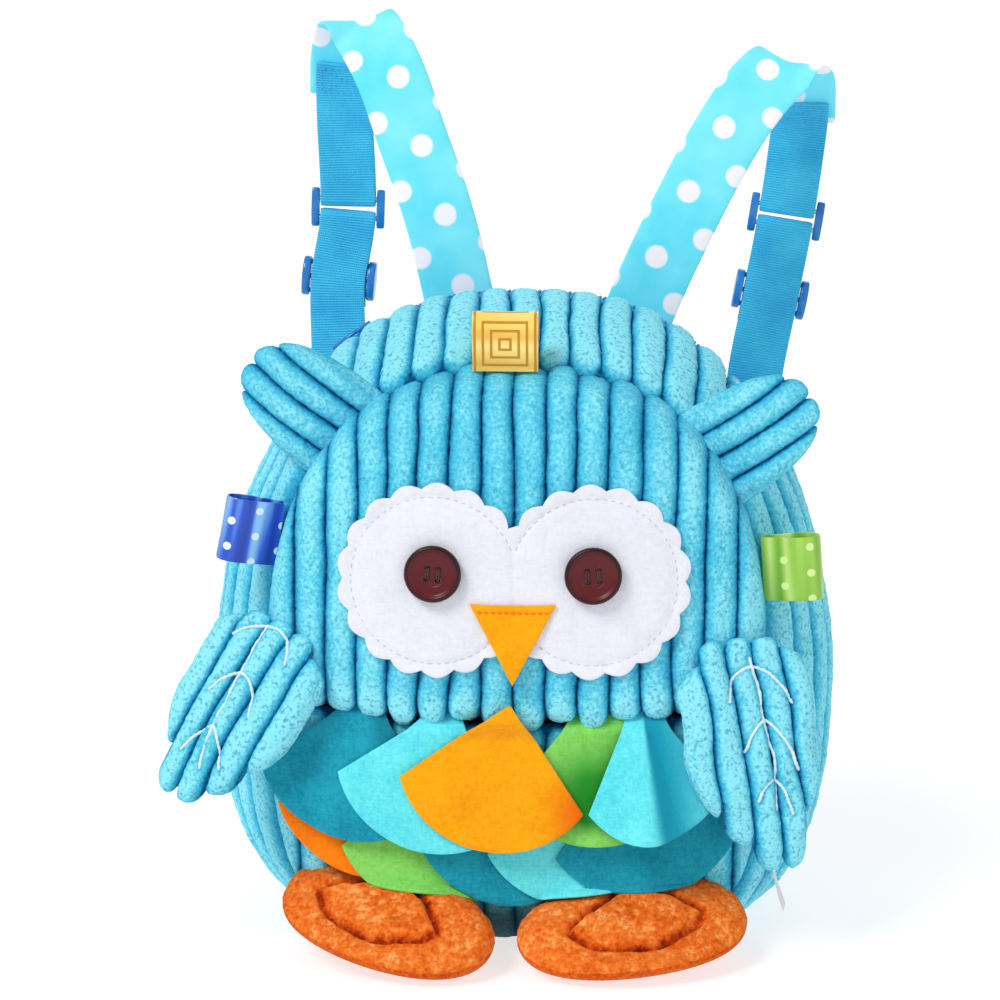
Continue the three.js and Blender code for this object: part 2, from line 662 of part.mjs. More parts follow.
function button(name, side) {
  const x = (side * EYE_SPACING) / 2;
  const z = EYE_HEIGHT + BUTTON_RAISE;
  const seat = (dx, dz) => onFace(x + dx, z + dz, OVER_PATCH);
  const reach = BUTTON_RADIUS;
  const along = seat(reach, 0).sub(seat(-reach, 0)).normalize();
  const up = seat(0, reach).sub(seat(0, -reach)).normalize();
  const out = new THREE.Vector3().crossVectors(along, up).normalize();
  const mesh = named(name, buttonGeometry(), MATERIALS.button);
  mesh.quaternion.setFromRotationMatrix(
    new THREE.Matrix4().makeBasis(along, new THREE.Vector3().crossVectors(out, along), out),
  );
  mesh.position.copy(seat(0, 0)).addScaledVector(out, (0.2 * reach ** 2) / FRONT_HALF);
  return mesh;
}

// A felt feather: a sector that hangs from its apex under the lip, curving over the belly.
function feather({ name, row, layer, across, top, lean, half, color }) {
  const apex = { x: across * FRONT_HALF, z: top * FRONT_HEIGHT };
  const folded = name.endsWith("curl") ? FEATHER_FOLD : 0;
  const point = (s, v, side) => {
    const angle = radians(lean + s * half);
    const corner = FEATHER_CORNER_SHARE + (1 - FEATHER_CORNER_SHARE) * (1 - s * s);
    const radius = lerp(FEATHER_APEX, FEATHER_LENGTH * corner, v);
    const x = apex.x + radius * Math.sin(angle);
    const z = apex.z - radius * Math.cos(angle);
    const over = featherLift(FEATHER_ROWS[row], x - apex.x, z) + layer * FEATHER_LAYER;
    const fold = folded * v * Math.exp(-(((s + 0.2) / 0.5) ** 2));
    return new THREE.Vector3(x, FRONT_Y - drape(x, z) - over - fold - (side === 0 ? FELT : 0), z);
  };
  const geometry = gridSolid([-1, -0.6, -0.2, 0.2, 0.6, 1], [0, 0.2, 0.45, 0.7, 1], point);
  return seated(named(`feather_${name}`, geometry, material(color, 0.95)), LIMB_CLEARANCE);
}

// How far a feather of a row stands off the belly at a height, and at a place across from its apex.
function featherLift({ top, lift, shingle }, across, z) {
  const hang = clamp((top * FRONT_HEIGHT - z) / FEATHER_LENGTH, 0, 1);
  return FEATHER_CLEARANCE + lift * hang - shingle * across;
}

// Distance out of the front seam's plane where felt lies: over the lip, and straight down near the feet.
function drape(x, z) {
  const inside = clamp(x, -FEATHER_SPREAD * FRONT_HALF, FEATHER_SPREAD * FRONT_HALF);
  const crown = frontCrown(inside, Math.max(z, FEATHER_HANG_HEIGHT));
  const share = clamp((z - lip(inside)) / LIP_BLEND + 0.5, 0, 1);
  return crown + PANEL_EDGE + RIB_HEIGHT + lerp(WALL, FACE_PAD, share * share * (3 - 2 * share));
}

// A stuffed ear with ribs along it, front and back, whose foot goes into the front seam.
function ear({ name, side, seat, lift }) {
  const pitch = EAR_WIDTH / EAR_RIBS;
  const point = (x, v, face) => {
    const share = Math.abs((2 * x) / EAR_WIDTH);
    const high = EAR_HEIGHT * (1 - share ** 2.8) ** 0.5;
    const up = lerp(-EAR_SINK, high, v);
    const swell = Math.sqrt(1 - share ** 4) * Math.sqrt(1 - v ** 4);
    const foot = lerp(0.4, 1, clamp((up + EAR_SINK) / (2 * EAR_SINK), 0, 1));
    const ribs = RIB_HEIGHT * ribCrest(x, pitch) * swell;
    const out = (EAR_THICKNESS / 2 - RIB_HEIGHT) * swell * foot + ribs + SEAM_GAP;
    return new THREE.Vector3(x, up, face === 0 ? out : -out);
  };
  const columns = ribColumns(-EAR_WIDTH / 2, EAR_WIDTH / 2, pitch);
  const mesh = named(name, gridSolid(columns, [0, 0.3, 0.6, 0.82, 0.94, 1], point), MATERIALS.plush);
  const root = shellPoint(side, archAngle(seat, 0), 0, 0);
  const axis = new THREE.Vector3(side * Math.cos(radians(lift)), 0, Math.sin(radians(lift)));
  const out = new THREE.Vector3(0, -1, 0);
  mesh.quaternion.setFromRotationMatrix(
    new THREE.Matrix4().makeBasis(new THREE.Vector3().crossVectors(axis, out), axis, out),
  );
  mesh.position.set(root.x, FRONT_Y + EAR_SET_BACK, root.z);
  return seated(mesh, ENVELOPE);
}

// A padded wing with ribs down it, each ending in its own rounded finger, larger all round by grow.
function wing({ side, across, height, forward, lean, turn, lift, size }, grow = 0) {
  const pitch = WING_WIDTH / WING_RIBS;
  const length = size * WING_LENGTH;
  const point = (x, v, face) => {
    const share = clamp(x / WING_WIDTH + 0.5, 0, 1);
    const crest = ribCrest(x + WING_WIDTH / 2, pitch);
    const low = -length * (sample(WING_SHAPE, "reach", share) - WING_NOTCH * (1 - crest)) - grow;
    const high = -length * sample(WING_SHAPE, "top", share) + grow;
    const swell = Math.sqrt(Math.max(1 - (2 * share - 1) ** 4, 0)) * Math.sqrt(4 * v * (1 - v));
    const ribs = RIB_HEIGHT * crest * swell;
    const out = (WING_THICKNESS / 2 - RIB_HEIGHT) * swell + ribs + 2 * SEAM_GAP + grow;
    const outward = side * x * (1 + (2 * grow) / WING_WIDTH);
    return new THREE.Vector3(outward, face === 0 ? -out : out, lerp(low, high, v));
  };
  const shifted = ribColumns(0, WING_WIDTH, pitch).map((x) => x - WING_WIDTH / 2);
  const geometry = gridSolid(shifted, [0, 0.06, 0.25, 0.6, 0.92, 1], point);
  const mesh = named(side < 0 ? "wing_left" : "wing_right", geometry, MATERIALS.plush);
  mesh.rotation.set(radians(lift), side * radians(-lean), side * radians(turn), "YZX");
  mesh.position.set(
    (side * across * BODY_WIDTH) / 2,
    FRONT_Y - forward * (FRONT_CROWN + WALL),
    height * BODY_HEIGHT,
  );
  return mesh;
}

// A stuffed foot, larger by grow: an oval cushion, lower at the toes, with a stitched tuft on top.
function foot({ name, side, across, forward, turn, roll }, grow = 0) {
  const [a, b, c] = [FOOT_LENGTH, FOOT_DEPTH, FOOT_THICKNESS].map((size) => size / 2 + grow);
  const point = (u, v, face) => {
    const angle = 2 * Math.PI * u;
    const swell = Math.sqrt(1 - v ** 4);
    const groove = FOOT_GROOVE * Math.exp(-(((v - FOOT_TUFT_SHARE) / 0.12) ** 2));
    const half = c * lerp(FOOT_TOE_SHARE, 1, THREE.MathUtils.smoothstep(v * Math.sin(angle), -0.95, 0.4));
    const up = face === 0 ? half * swell - groove : -half * Math.min(1, 1.12 * Math.sqrt(1 - v ** 3));
    return new THREE.Vector3(a * v * Math.cos(angle), b * v * Math.sin(angle), half - c + up);
  };
  const around = even(16).slice(0, -1);
  const geometry = gridSolid(around, [0, 0.35, FOOT_TUFT_SHARE, 0.75, 0.92, 1], point, true);
  const mesh = named(name, geometry, MATERIALS.orangePlush);
  mesh.rotation.set(0, side * radians(-roll), side * radians(turn), "ZYX");
  mesh.position.set(side * across * BODY_WIDTH, FRONT_Y - forward * BODY_DEPTH, 0);
  mesh.updateMatrixWorld(true);
  mesh.position.z = -new THREE.Box3().setFromObject(mesh, true).min.z - grow;
  return mesh;
}

// A mesh's solid in the whole owl's frame.
function placedSolid(mesh) {
  mesh.updateMatrixWorld(true);
  return toManifold(mesh.geometry.clone().applyMatrix4(mesh.matrixWorld));
}

// A ribbon folded into a loop, whose two ends go into a seam: along +X out of the seam, +Y across it.
function ribbonLoop(name, look) {
  const place = (u) => {
    const swell = Math.sin(Math.PI * u);
    const out = TAG_BULGE * (0.3 + swell) * Math.cos(Math.PI * u);
    return new THREE.Vector2(TAG_REACH * swell ** 0.8 - TAG_SINK, out);
  };
  const point = (u, v, side) => {
    const tangent = place(Math.min(u + 0.01, 1)).sub(place(Math.max(u - 0.01, 0))).normalize();
    const offset = side === 0 ? RIBBON / 2 : -RIBBON / 2;
    const p = place(u);
    const width = (v - 0.5) * TAG_WIDTH;
    return new THREE.Vector3(p.x + tangent.y * offset, p.y - tangent.x * offset, width);
  };
  return named(name, gridSolid(even(14), [0, 1], point), look);
}

function tags() {
  const yellow = ribbonLoop("ribbon_tag_yellow", MATERIALS.yellowRibbon);
  yellow.rotation.set(0, -Math.PI / 2, 0);
  yellow.rotateX(Math.PI);
  const crown = FRONT_HEIGHT + RIB_SCALLOP - SEAM_GAP;
  yellow.position.set(CROWN_TAG_ACROSS * FRONT_HALF, FRONT_Y - TAG_BULGE, crown);
  const sides = SIDE_TAGS.map(({ name, ribbon, side, height, turn }) => {
    const tag = ribbonLoop(name, MATERIALS[ribbon]);
    const power = sample(DEPTH_SECTIONS, "up", 0);
    const angle = Math.acos(((height - WIDEST_SHARE) / (1 - WIDEST_SHARE)) ** (power / 2));
    const root = shellPoint(side, angle, 0, -RIB_SCALLOP);
    tag.rotation.set(0, 0, radians(turn));
    tag.position.set(root.x, FRONT_Y - TAG_BULGE / 2, root.z);
    return tag;
  });
  return [yellow, ...sides].map((tag) => seated(tag, ENVELOPE));
}

// Places along a strap: centre, direction along and across, and the normal into the strap's loop.
function strapStation(rows, at) {
  const centre = (t) =>
    new THREE.Vector3(
      (sample(rows, "across", t) * BODY_WIDTH) / 2,
      BACK_FACE_Y + SEAM_GAP + STRAP_THICKNESS / 2 + sample(rows, "reach", t) * STRAP_REACH,
      BODY_HEIGHT + sample(rows, "rise", t) * STRAP_RISE,
    );
  const step = 0.004;
  const along = centre(Math.min(at + step, 1)).sub(centre(Math.max(at - step, 0))).normalize();
  const roll = radians(sample(rows, "roll", at));
  const across = new THREE.Vector3(Math.cos(roll), 0, Math.sin(roll));
  const normal = new THREE.Vector3().crossVectors(along, across).normalize();
  across.crossVectors(normal, along);
  return { centre: centre(at), along, across, normal };
}

// Stations from one place to another, moved along their normals by a given offset.
function strapRun(rows, from, to, count, offset) {
  return even(count).map((share) => {
    const station = strapStation(rows, lerp(from, to, share));
    station.centre.addScaledVector(station.normal, offset);
    return station;
  });
}

// A half turn of webbing round a bar, from the loop's inside to its outside: way is 1 to wrap forwards.
function wrapStations({ centre, along, across, normal }, radius, way) {
  return [0.25, 0.5, 0.75].map((share) => {
    const angle = Math.PI * share;
    const out = normal.clone().multiplyScalar(Math.cos(angle));
    out.addScaledVector(along, way * Math.sin(angle));
    return { centre: centre.clone().addScaledVector(out, radius), across, normal: out };
  });
}

// A flat band through a list of stations.
function band(stations, width, thickness) {
  const point = (k, v, side) => {
    const { centre, across, normal } = stations[k];
    const out = side === 0 ? -thickness / 2 : thickness / 2;
    return centre.clone().addScaledVector(across, (v - 0.5) * width).addScaledVector(normal, out);
  };
  return gridSolid(stations.map((_, k) => k), [0, 1], point);
}

const BAR_RADIUS = SLIDER_BAR / 2;
const WRAP = BAR_RADIUS + SLIDER_CLEARANCE + WEBBING_THICKNESS / 2;
const OUTER_BAR = WRAP + WEBBING_THICKNESS / 2 + SLIDER_CLEARANCE + BAR_RADIUS;
const BAR_REACH = SLIDER_HEIGHT / 2 - SLIDER_BAR;
const STRAP_LAP = (STRAP_THICKNESS + WEBBING_THICKNESS) / 2 + SEAM_GAP;
const RETURN = STRAP_LAP - 2 * WRAP;

// A slider's frame: two rails, and bars at places along it and heights over it.
function sliderGeometry(bars, depth, middle) {
  const inside = WEBBING_WIDTH + 2 * SLIDER_CLEARANCE;
  const pieces = [-1, 1].map((side) => {
    const rail = new THREE.CylinderGeometry(SLIDER_HEIGHT / 2, SLIDER_HEIGHT / 2, SLIDER_RAIL, 8);
    rail.scale(1, 1, depth / SLIDER_HEIGHT).rotateZ(Math.PI / 2);
    return rail.translate((side * (inside + SLIDER_RAIL)) / 2, 0, middle);
  });
  for (const [along, over] of bars) {
    const bar = new THREE.CylinderGeometry(BAR_RADIUS, BAR_RADIUS, inside + SLIDER_RAIL, 6);
    pieces.push(bar.rotateZ(Math.PI / 2).translate(0, along, over));
  }
  return fromManifold(pieces.map(toManifold).reduce((sum, next) => sum.add(next)));
}

// The ring that joins the two webbings, and the slider that the lower one is doubled through.
const RING_BARS = [[-RING_REACH, 0], [RING_REACH, 0]];
const SLIDER_BARS = [[-BAR_REACH, OUTER_BAR], [0, 0], [BAR_REACH, OUTER_BAR]];

function placedAt(mesh, { centre, along, across }) {
  const basis = new THREE.Matrix4().makeBasis(across, along, across.clone().cross(along));
  mesh.quaternion.setFromRotationMatrix(basis);
  mesh.position.copy(centre);
  return mesh;
}

function strap(side) {
  const rows = STRAP_ROUTES[side];
  const length = routeLength(rows);
  const [ring, slider] = [SLIDER_PLACES.upper, SLIDER_PLACES.lower];
  const barShare = BAR_REACH / length;
  const ringShare = RING_REACH / length;
  const lap = WEBBING_LAP / length;
  const moved = (at) => strapRun(rows, at, at, 1, STRAP_LAP - WRAP)[0];

  const padded = band(strapRun(rows, 0, STRAP_END, 20, 0), STRAP_WIDTH, STRAP_THICKNESS);
  const upper = [
    ...strapRun(rows, STRAP_END - lap, ring - ringShare, 6, STRAP_LAP),
    ...wrapStations(moved(ring - ringShare), WRAP, 1),
    ...strapRun(rows, ring - ringShare, STRAP_END + lap / 2, 4, RETURN).map(turned),
  ];
  const lower = [
    ...strapRun(rows, slider + 2 * barShare, ring + ringShare, 5, RETURN).map(turned),
    ...wrapStations(moved(ring + ringShare), WRAP, -1).reverse(),
    ...strapRun(rows, ring + ringShare, 1, 16, STRAP_LAP),
  ];
  const group = new THREE.Group();
  group.add(named(`shoulder_strap_${side}`, padded, MATERIALS.strap));
  group.add(named(`ring_webbing_${side}`, band(upper, WEBBING_WIDTH, WEBBING_THICKNESS), MATERIALS.webbing));
  group.add(named(`lower_webbing_${side}`, band(lower, WEBBING_WIDTH, WEBBING_THICKNESS), MATERIALS.webbing));
  const frame = sliderGeometry(RING_BARS, 2 * SLIDER_BAR, 0);
  const buckle = sliderGeometry(SLIDER_BARS, 2 * (OUTER_BAR + BAR_RADIUS), OUTER_BAR / 2);
  group.add(placedAt(named(`strap_ring_${side}`, frame, MATERIALS.slider), moved(ring)));
  group.add(placedAt(named(`strap_slider_${side}`, buckle, MATERIALS.slider), moved(slider)));
  return group;
}

const turned = (station) => ({ ...station, normal: station.normal.clone().negate() });

// The length of a strap's whole route.
function routeLength(rows) {
  const stations = even(60).map((at) => strapStation(rows, at).centre);
  return stations.slice(1).reduce((sum, p, k) => sum + p.distanceTo(stations[k]), 0);
}

// The zip's slider and its pull, at the left end of the zip.
function zipPull() {
  const depth = (ZIP_START + REAR_START) / 2;
  const x = PULL_ACROSS * TOP_GUSSET_HALF;
  const at = (dx) => {
    const angle = archAngle(Math.abs(x + dx) / halfWidthAt(depth), depth);
    return shellPoint(-1, angle, depth, -ZIP_COIL_HEIGHT - SEAM_GAP);
  };
  const along = at(PULL_BODY.width / 2).sub(at(-PULL_BODY.width / 2)).normalize();
  const middle = PULL_BODY.height / 2 + SEAM_GAP;
  const body = new THREE.BoxGeometry(PULL_BODY.length, PULL_BODY.width, PULL_BODY.height);
  body.translate(0, 0, middle);
  const tab = new THREE.BoxGeometry(PULL_TAB.length, PULL_TAB.width, PULL_TAB.height);
  tab.translate(-PULL_TAB.reach, 0, middle + PULL_TAB.height / 2);
  const mesh = named("zip_pull", fromManifold(toManifold(body).add(toManifold(tab))), MATERIALS.slider);
  mesh.position.copy(at(0));
  mesh.rotation.set(0, -Math.atan2(along.z, along.x), 0);
  return mesh;
}

// The blank sewn-in label under the right wing.
function careLabel() {
  const root = shellPoint(1, bottomAngle(LABEL_SEAT.across), LABEL_SEAT.depth, -RIB_HEIGHT - LABEL_SEAT.gap);
  const geometry = new THREE.BoxGeometry(LABEL_THICKNESS, LABEL_WIDTH, LABEL_LENGTH);
  geometry.translate(LABEL_THICKNESS / 2, 0, -LABEL_LENGTH / 2);
  const mesh = named("care_label", geometry, MATERIALS.label);
  mesh.position.copy(root);
  mesh.rotation.set(0, radians(-LABEL_LEAN), 0);
  return mesh;
}

const ENVELOPE = bodyEnvelope();
const LIMB_CLEARANCE = [
  ...WINGS.map((row) => wing(row, SEAM_GAP)),
  ...FEET.map((row) => foot(row, SEAM_GAP)),
].map(placedSolid);
const limb = (mesh) => seated(mesh, ENVELOPE);

const owl = new THREE.Group();
owl.name = "plush_owl_backpack";
owl.add(named("face_panel", facePanel(), MATERIALS.plush));
owl.add(named("belly_panel", bellyPanel(), MATERIALS.plush));
owl.add(named("top_gusset", topGusset(), MATERIALS.plush));
owl.add(named("zipper", zipper(), MATERIALS.zip));
owl.add(named("rear_band", rearBand(), MATERIALS.plushRear));
owl.add(named("side_gusset_left", sideGusset(-1), MATERIALS.plush));
owl.add(named("side_gusset_right", sideGusset(1), MATERIALS.plush));
owl.add(named("base_panel", basePanel(), MATERIALS.plushRear));
owl.add(named("back_panel", backPanel(), MATERIALS.plushRear));
owl.add(named("eye_patch", eyePatch(), MATERIALS.whiteFelt));
owl.add(named("beak", beak(), MATERIALS.orangeFelt));
owl.add(button("eye_button_left", -1), button("eye_button_right", 1));
owl.add(...FEATHERS.map(feather), ...EARS.map(ear), ...tags());
owl.add(...WINGS.map((row) => limb(wing(row))), ...FEET.map((row) => limb(foot(row))));
owl.add(strap("left"), strap("right"), zipPull(), careLabel());

export default owl;
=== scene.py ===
"""Looks of the plush owl toddler backpack: ribbed plush, felt, buttons, straps, zip and ribbons.

Sizes are in millimetres in the part's frame and turn into metres when a mesh is made.
"""
import math

import bmesh
import bpy
import numpy as np
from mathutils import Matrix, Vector


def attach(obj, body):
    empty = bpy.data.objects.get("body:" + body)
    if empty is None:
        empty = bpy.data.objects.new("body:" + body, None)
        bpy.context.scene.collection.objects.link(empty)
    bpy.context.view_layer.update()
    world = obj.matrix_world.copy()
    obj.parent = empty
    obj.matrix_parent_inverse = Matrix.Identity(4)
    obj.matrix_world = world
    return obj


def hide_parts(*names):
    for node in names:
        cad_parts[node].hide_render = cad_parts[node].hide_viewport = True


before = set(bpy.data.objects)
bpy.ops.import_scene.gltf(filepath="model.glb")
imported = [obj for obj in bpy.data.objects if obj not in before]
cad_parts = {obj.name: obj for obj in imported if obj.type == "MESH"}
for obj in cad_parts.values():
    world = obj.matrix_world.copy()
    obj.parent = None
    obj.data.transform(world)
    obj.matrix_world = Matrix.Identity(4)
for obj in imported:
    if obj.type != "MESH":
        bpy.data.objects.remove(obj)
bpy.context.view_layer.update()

MM = 0.001

# Body.
BODY_WIDTH, BODY_HEIGHT, BODY_DEPTH = 262.0, 266.0, 96.0
WALL, SEAM_GAP, SHOULDER_GAP = 3.0, 0.4, 1.0
RIB_PITCH, RIB_HEIGHT, RIB_END, RIB_BACK = 13.1, 3.4, 7.0, 0.965
FRONT_CROWN, FACE_PAD, LIP_ROUND, LIP_DROP, PANEL_EDGE = 25.0, 8.0, 11.0, 8.0, 1.6
WIDEST_SHARE, BASE_FLATTEN, BASE_HALF_SHARE = 0.45, 1.02, 0.66
BOTTOM_ACROSS, BOTTOM_UP = 6.0, 2.67
ZIP_WIDTH, ZIP_COIL_WIDTH, REAR_BAND, TOP_GUSSET_HALF = 12.5, 5.0, 7.0, 86.0
ZIP_COIL_LIFT, ZIP_TOOTH_PITCH, PULL_ACROSS = 1.2, 2.2, -0.8

# Face.
EYE_SPACING, EYE_RADIUS, EYE_HEIGHT = 65.3, 40.4, 165.2
EYE_SCALLOPS, EYE_SCALLOP_DEPTH, EYE_STITCH_INSET = 17, 2.6, 6.0
FELT, FELT_CLEARANCE = 1.3, 0.8
OVER_PATCH = FELT_CLEARANCE + FELT + SEAM_GAP
BUTTON_RADIUS, BUTTON_THICKNESS, BUTTON_RAISE, BUTTON_RIM, BUTTON_DISH = 11.8, 4.2, 3.7, 2.4, 1.2
BUTTON_HOLE_RADIUS, BUTTON_HOLE_SPACING = 1.25, 4.6
BEAK_WIDTH, BEAK_LENGTH, BEAK_TOP, BEAK_LIFT = 35.5, 33.0, 156.0, 2.5

# Feathers.
FEATHER_LENGTH, FEATHER_CORNER_SHARE = 64.0, 0.87
FEATHER_LAYER, FEATHER_CLEARANCE, FEATHER_HANG_HEIGHT, FEATHER_SPREAD = 2.1, 0.9, 50.0, 0.8
LIP_BLEND, FEATHER_FOLD = 11.0, 8.0

# Ears, wings and feet.
EAR_WIDTH, EAR_HEIGHT, EAR_THICKNESS, EAR_RIBS, EAR_SINK, EAR_SET_BACK = 46.0, 46.0, 17.0, 4, 9.0, 2.0
WING_WIDTH, WING_LENGTH, WING_THICKNESS, WING_NOTCH, WING_RIBS = 58.0, 111.0, 11.0, 0.07, 5
FOOT_LENGTH, FOOT_DEPTH, FOOT_THICKNESS, FOOT_TOE_SHARE = 98.0, 60.0, 31.0, 0.45

# Tags, label and straps.
TAG_WIDTH, TAG_REACH, TAG_BULGE, TAG_SINK, RIBBON = 27.0, 24.0, 6.5, 0.3, 1.0
RIB_SCALLOP, CROWN_TAG_ACROSS = 1.4, -0.045
# Side tags: side, height on the front seam as a share of the front's height, turn and lean in degrees.
SIDE_TAGS = [("blue", -1, 0.712, 196, 11), ("green", 1, 0.663, -6, -4)]
LABEL_WIDTH, LABEL_LENGTH, LABEL_LEAN = 9.0, 20.0, 12.0
LABEL_ACROSS, LABEL_DEPTH, LABEL_GAP = 0.92, 0.12, 0.6
STRAP_WIDTH, STRAP_THICKNESS, STRAP_RISE, STRAP_REACH = 31.0, 3.6, 116.0, 58.0
WEBBING_WIDTH, WEBBING_THICKNESS, WEBBING_LAP = 25.0, 1.6, 14.0
SLIDER_HEIGHT, SLIDER_RAIL, SLIDER_BAR, SLIDER_CLEARANCE = 18.0, 3.6, 2.4, 0.6
STRAP_END, RING_AT, SLIDER_AT, RING_REACH = 0.445, 0.555, 0.625, 4.4


def table(columns, *rows):
    """A table with named columns, each an array."""
    return {name: np.array(values, float) for name, values in zip(columns, zip(*rows))}


DEPTH_SECTIONS = table(
    ("at", "width", "height", "across", "up"),
    (0, 0.802, 0.928, 2.4, 2.7),
    (0.15, 0.885, 0.962, 2.5, 2.1),
    (0.4, 0.98, 0.993, 2.6, 1.7),
    (0.7, 1, 1, 2.6, 1.6),
    (1, 0.95, 0.985, 2.6, 1.6),
)
WING_SHAPE = table(
    ("at", "top", "reach"),
    (0, 0.17, 0.5),
    (0.2, 0.03, 0.8),
    (0.4, 0, 0.95),
    (0.6, 0, 1),
    (0.8, 0.03, 0.9),
    (1, 0.17, 0.5),
)
WINGS = {
    "left": dict(side=-1, across=0.725, height=0.535, forward=0.78, lean=25, turn=27, lift=-10, size=0.78),
    "right": dict(side=1, across=0.7, height=0.527, forward=1.0, lean=8, turn=20, lift=-3, size=0.9),
}
EARS = {"left": dict(side=-1, seat=0.71, lift=38), "right": dict(side=1, seat=0.79, lift=34)}
FEET = {
    "left": dict(side=-1, across=0.2, forward=0.36, turn=27, roll=9),
    "right": dict(side=1, across=0.19, forward=0.37, turn=15, roll=4),
}
# Embroidered lines on each wing: places across it and up it, in millimetres from the top of its axis.
EMBROIDERY = {
    "left": [
        [(-5.5, -4.0), (-4.8, -13.7), (-4.1, -26.7), (-3.1, -39.2), (-2.8, -51.6), (-0.9, -62.0), (1.6, -70.2)],
        [(-17.1, -15.5), (-12.0, -9.2), (-5.6, -5.0), (0.9, -3.6), (6.8, -6.2), (11.8, -14.3)],
        [(-13.0, -40.1), (-9.9, -33.0), (-4.1, -26.7), (2.2, -27.9), (6.5, -33.6), (9.0, -40.8)],
        [(-10.6, -67.7), (-7.6, -58.7), (-2.8, -51.6), (2.8, -56.0), (9.4, -65.9)],
    ],
    "right": [
        [(3.4, -8.0), (4.9, -21.9), (4.9, -36.0), (5.9, -44.4), (6.6, -51.4), (6.0, -61.2), (4.5, -73.8)],
        [(-9.3, -24.9), (-6.4, -17.4), (-2.2, -13.2), (3.2, -12.2), (9.4, -15.3), (14.3, -21.4), (18.2, -30.8)],
        [(-5.6, -47.0), (-1.5, -40.2), (5.1, -35.2), (10.0, -41.0), (14.0, -49.6), (16.6, -59.2)],
        [(-3.1, -68.2), (0.4, -62.9), (5.2, -60.6), (8.9, -65.7), (11.2, -77.0)],
    ],
}
FEATHER_ROWS = [dict(top=0.37, lift=5.2, shingle=0.088), dict(top=0.455, lift=11.2, shingle=0)]
FEATHER_COLUMNS = ("name", "row", "layer", "across", "top", "lean", "half", "felt")
FEATHERS = [
    dict(zip(FEATHER_COLUMNS, values))
    for values in (
        ("low_amber", 0, 0, -0.5, 0.4, -12, 44, "amber"),
        ("low_green", 0, 0, -0.29, 0.352, -4, 44, "green"),
        ("low_teal", 0, 0, 0.02, 0.36, -3, 44, "teal"),
        ("low_aqua", 0, 0, 0.26, 0.36, 1, 44, "aqua"),
        ("low_deep", 0, 0, 0.48, 0.37, 8, 44, "teal"),
        ("top_teal", 1, 0, -0.57, 0.472, -12, 44, "teal"),
        ("top_green", 1, 0, 0.31, 0.473, 5, 44, "green"),
        ("top_aqua", 1, 1, -0.25, 0.458, -13, 44, "aqua"),
        ("top_orange", 1, 2, -0.01, 0.465, -11, 44, "orange"),
        ("top_curl", 1, 1, 0.49, 0.486, 9, 30, "aqua"),
    )
]
STRAP_COLUMNS = ("at", "across", "rise", "reach", "roll")
STRAP_ROUTES = {
    "left": table(
        STRAP_COLUMNS,
        (0, -0.21, -0.24, 0.05, 17),
        (0.05, -0.24, -0.05, 0.07, 18),
        (0.13, -0.31, 0.26, 0.14, 18),
        (0.21, -0.4, 0.54, 0.24, 16),
        (0.28, -0.48, 0.78, 0.36, 13),
        (0.34, -0.575, 0.945, 0.54, 8),
        (0.38, -0.625, 0.91, 0.72, 4),
        (0.42, -0.65, 0.78, 0.84, 2),
        (0.46, -0.655, 0.6, 0.92, 2),
        (0.56, -0.65, 0.19, 1, 4),
        (0.63, -0.685, -0.09, 0.96, 3),
        (0.7, -0.68, -0.4, 0.84, 0),
        (0.85, -0.7, -1.1, 0.62, 0),
        (0.95, -0.72, -1.68, 0.22, 0),
        (1, -0.73, -1.95, 0.035, 0),
    ),
    "right": table(
        STRAP_COLUMNS,
        (0, 0.31, -0.32, 0.05, -26),
        (0.05, 0.37, -0.12, 0.07, -27),
        (0.13, 0.48, 0.16, 0.15, -27),
        (0.21, 0.62, 0.47, 0.26, -26),
        (0.28, 0.745, 0.69, 0.38, -22),
        (0.34, 0.855, 0.8, 0.55, -13),
        (0.38, 0.905, 0.755, 0.72, -9),
        (0.42, 0.915, 0.645, 0.84, -10),
        (0.46, 0.91, 0.53, 0.92, -14),
        (0.56, 0.87, 0.17, 1, -18),
        (0.63, 0.82, -0.14, 0.96, -16),
        (0.7, 0.77, -0.45, 0.84, -8),
        (0.85, 0.73, -1.12, 0.62, 0),
        (0.95, 0.73, -1.68, 0.22, 0),
        (1, 0.73, -1.95, 0.035, 0),
    ),
}


def lerp(a, b, t):
    return a + (b - a) * t


def clamp(value, low=0.0, high=1.0):
    return np.clip(value, low, high)


def smooth(t):
    t = clamp(t)
    return t * t * (3 - 2 * t)


def rounded(share):
    return np.sqrt(1 - (1 - clamp(share)) ** 2)


def unit(v):
    return v / np.maximum(np.linalg.norm(v, axis=-1, keepdims=True), 1e-9)


def sample(rows, column, at):
    """A smooth curve through one column of a table, as in the part's source."""
    xs, ys = rows["at"], rows[column]
    last = len(xs) - 1
    at = np.asarray(at, float)
    i = np.clip(np.searchsorted(xs, at, side="left"), 1, last) - 1
    before, after = np.maximum(np.arange(last + 1) - 1, 0), np.minimum(np.arange(last + 1) + 1, last)
    slopes = (ys[after] - ys[before]) / (xs[after] - xs[before])
    step = xs[i + 1] - xs[i]
    t = clamp((at - xs[i]) / step)
    return (
        ys[i] * (1 + 2 * t) * (1 - t) ** 2
        + ys[i + 1] * t * t * (3 - 2 * t)
        + step * (slopes[i] * t * (1 - t) ** 2 - slopes[i + 1] * t * t * (1 - t))
    )


def hashed(*whole):
    """A repeatable value from -1 to 1 for whole numbers."""
    h = np.zeros_like(np.asarray(whole[0], np.int64)) + 374761393
    for k, value in enumerate(whole):
        h = h ^ (np.asarray(value, np.int64) * (73856093, 19349663, 83492791, 49979687)[k])
        h = ((h ^ (h >> 13)) * 1274126177) & 0x7FFFFFFF
    return (h & 0xFFFF) / 32767.5 - 1.0


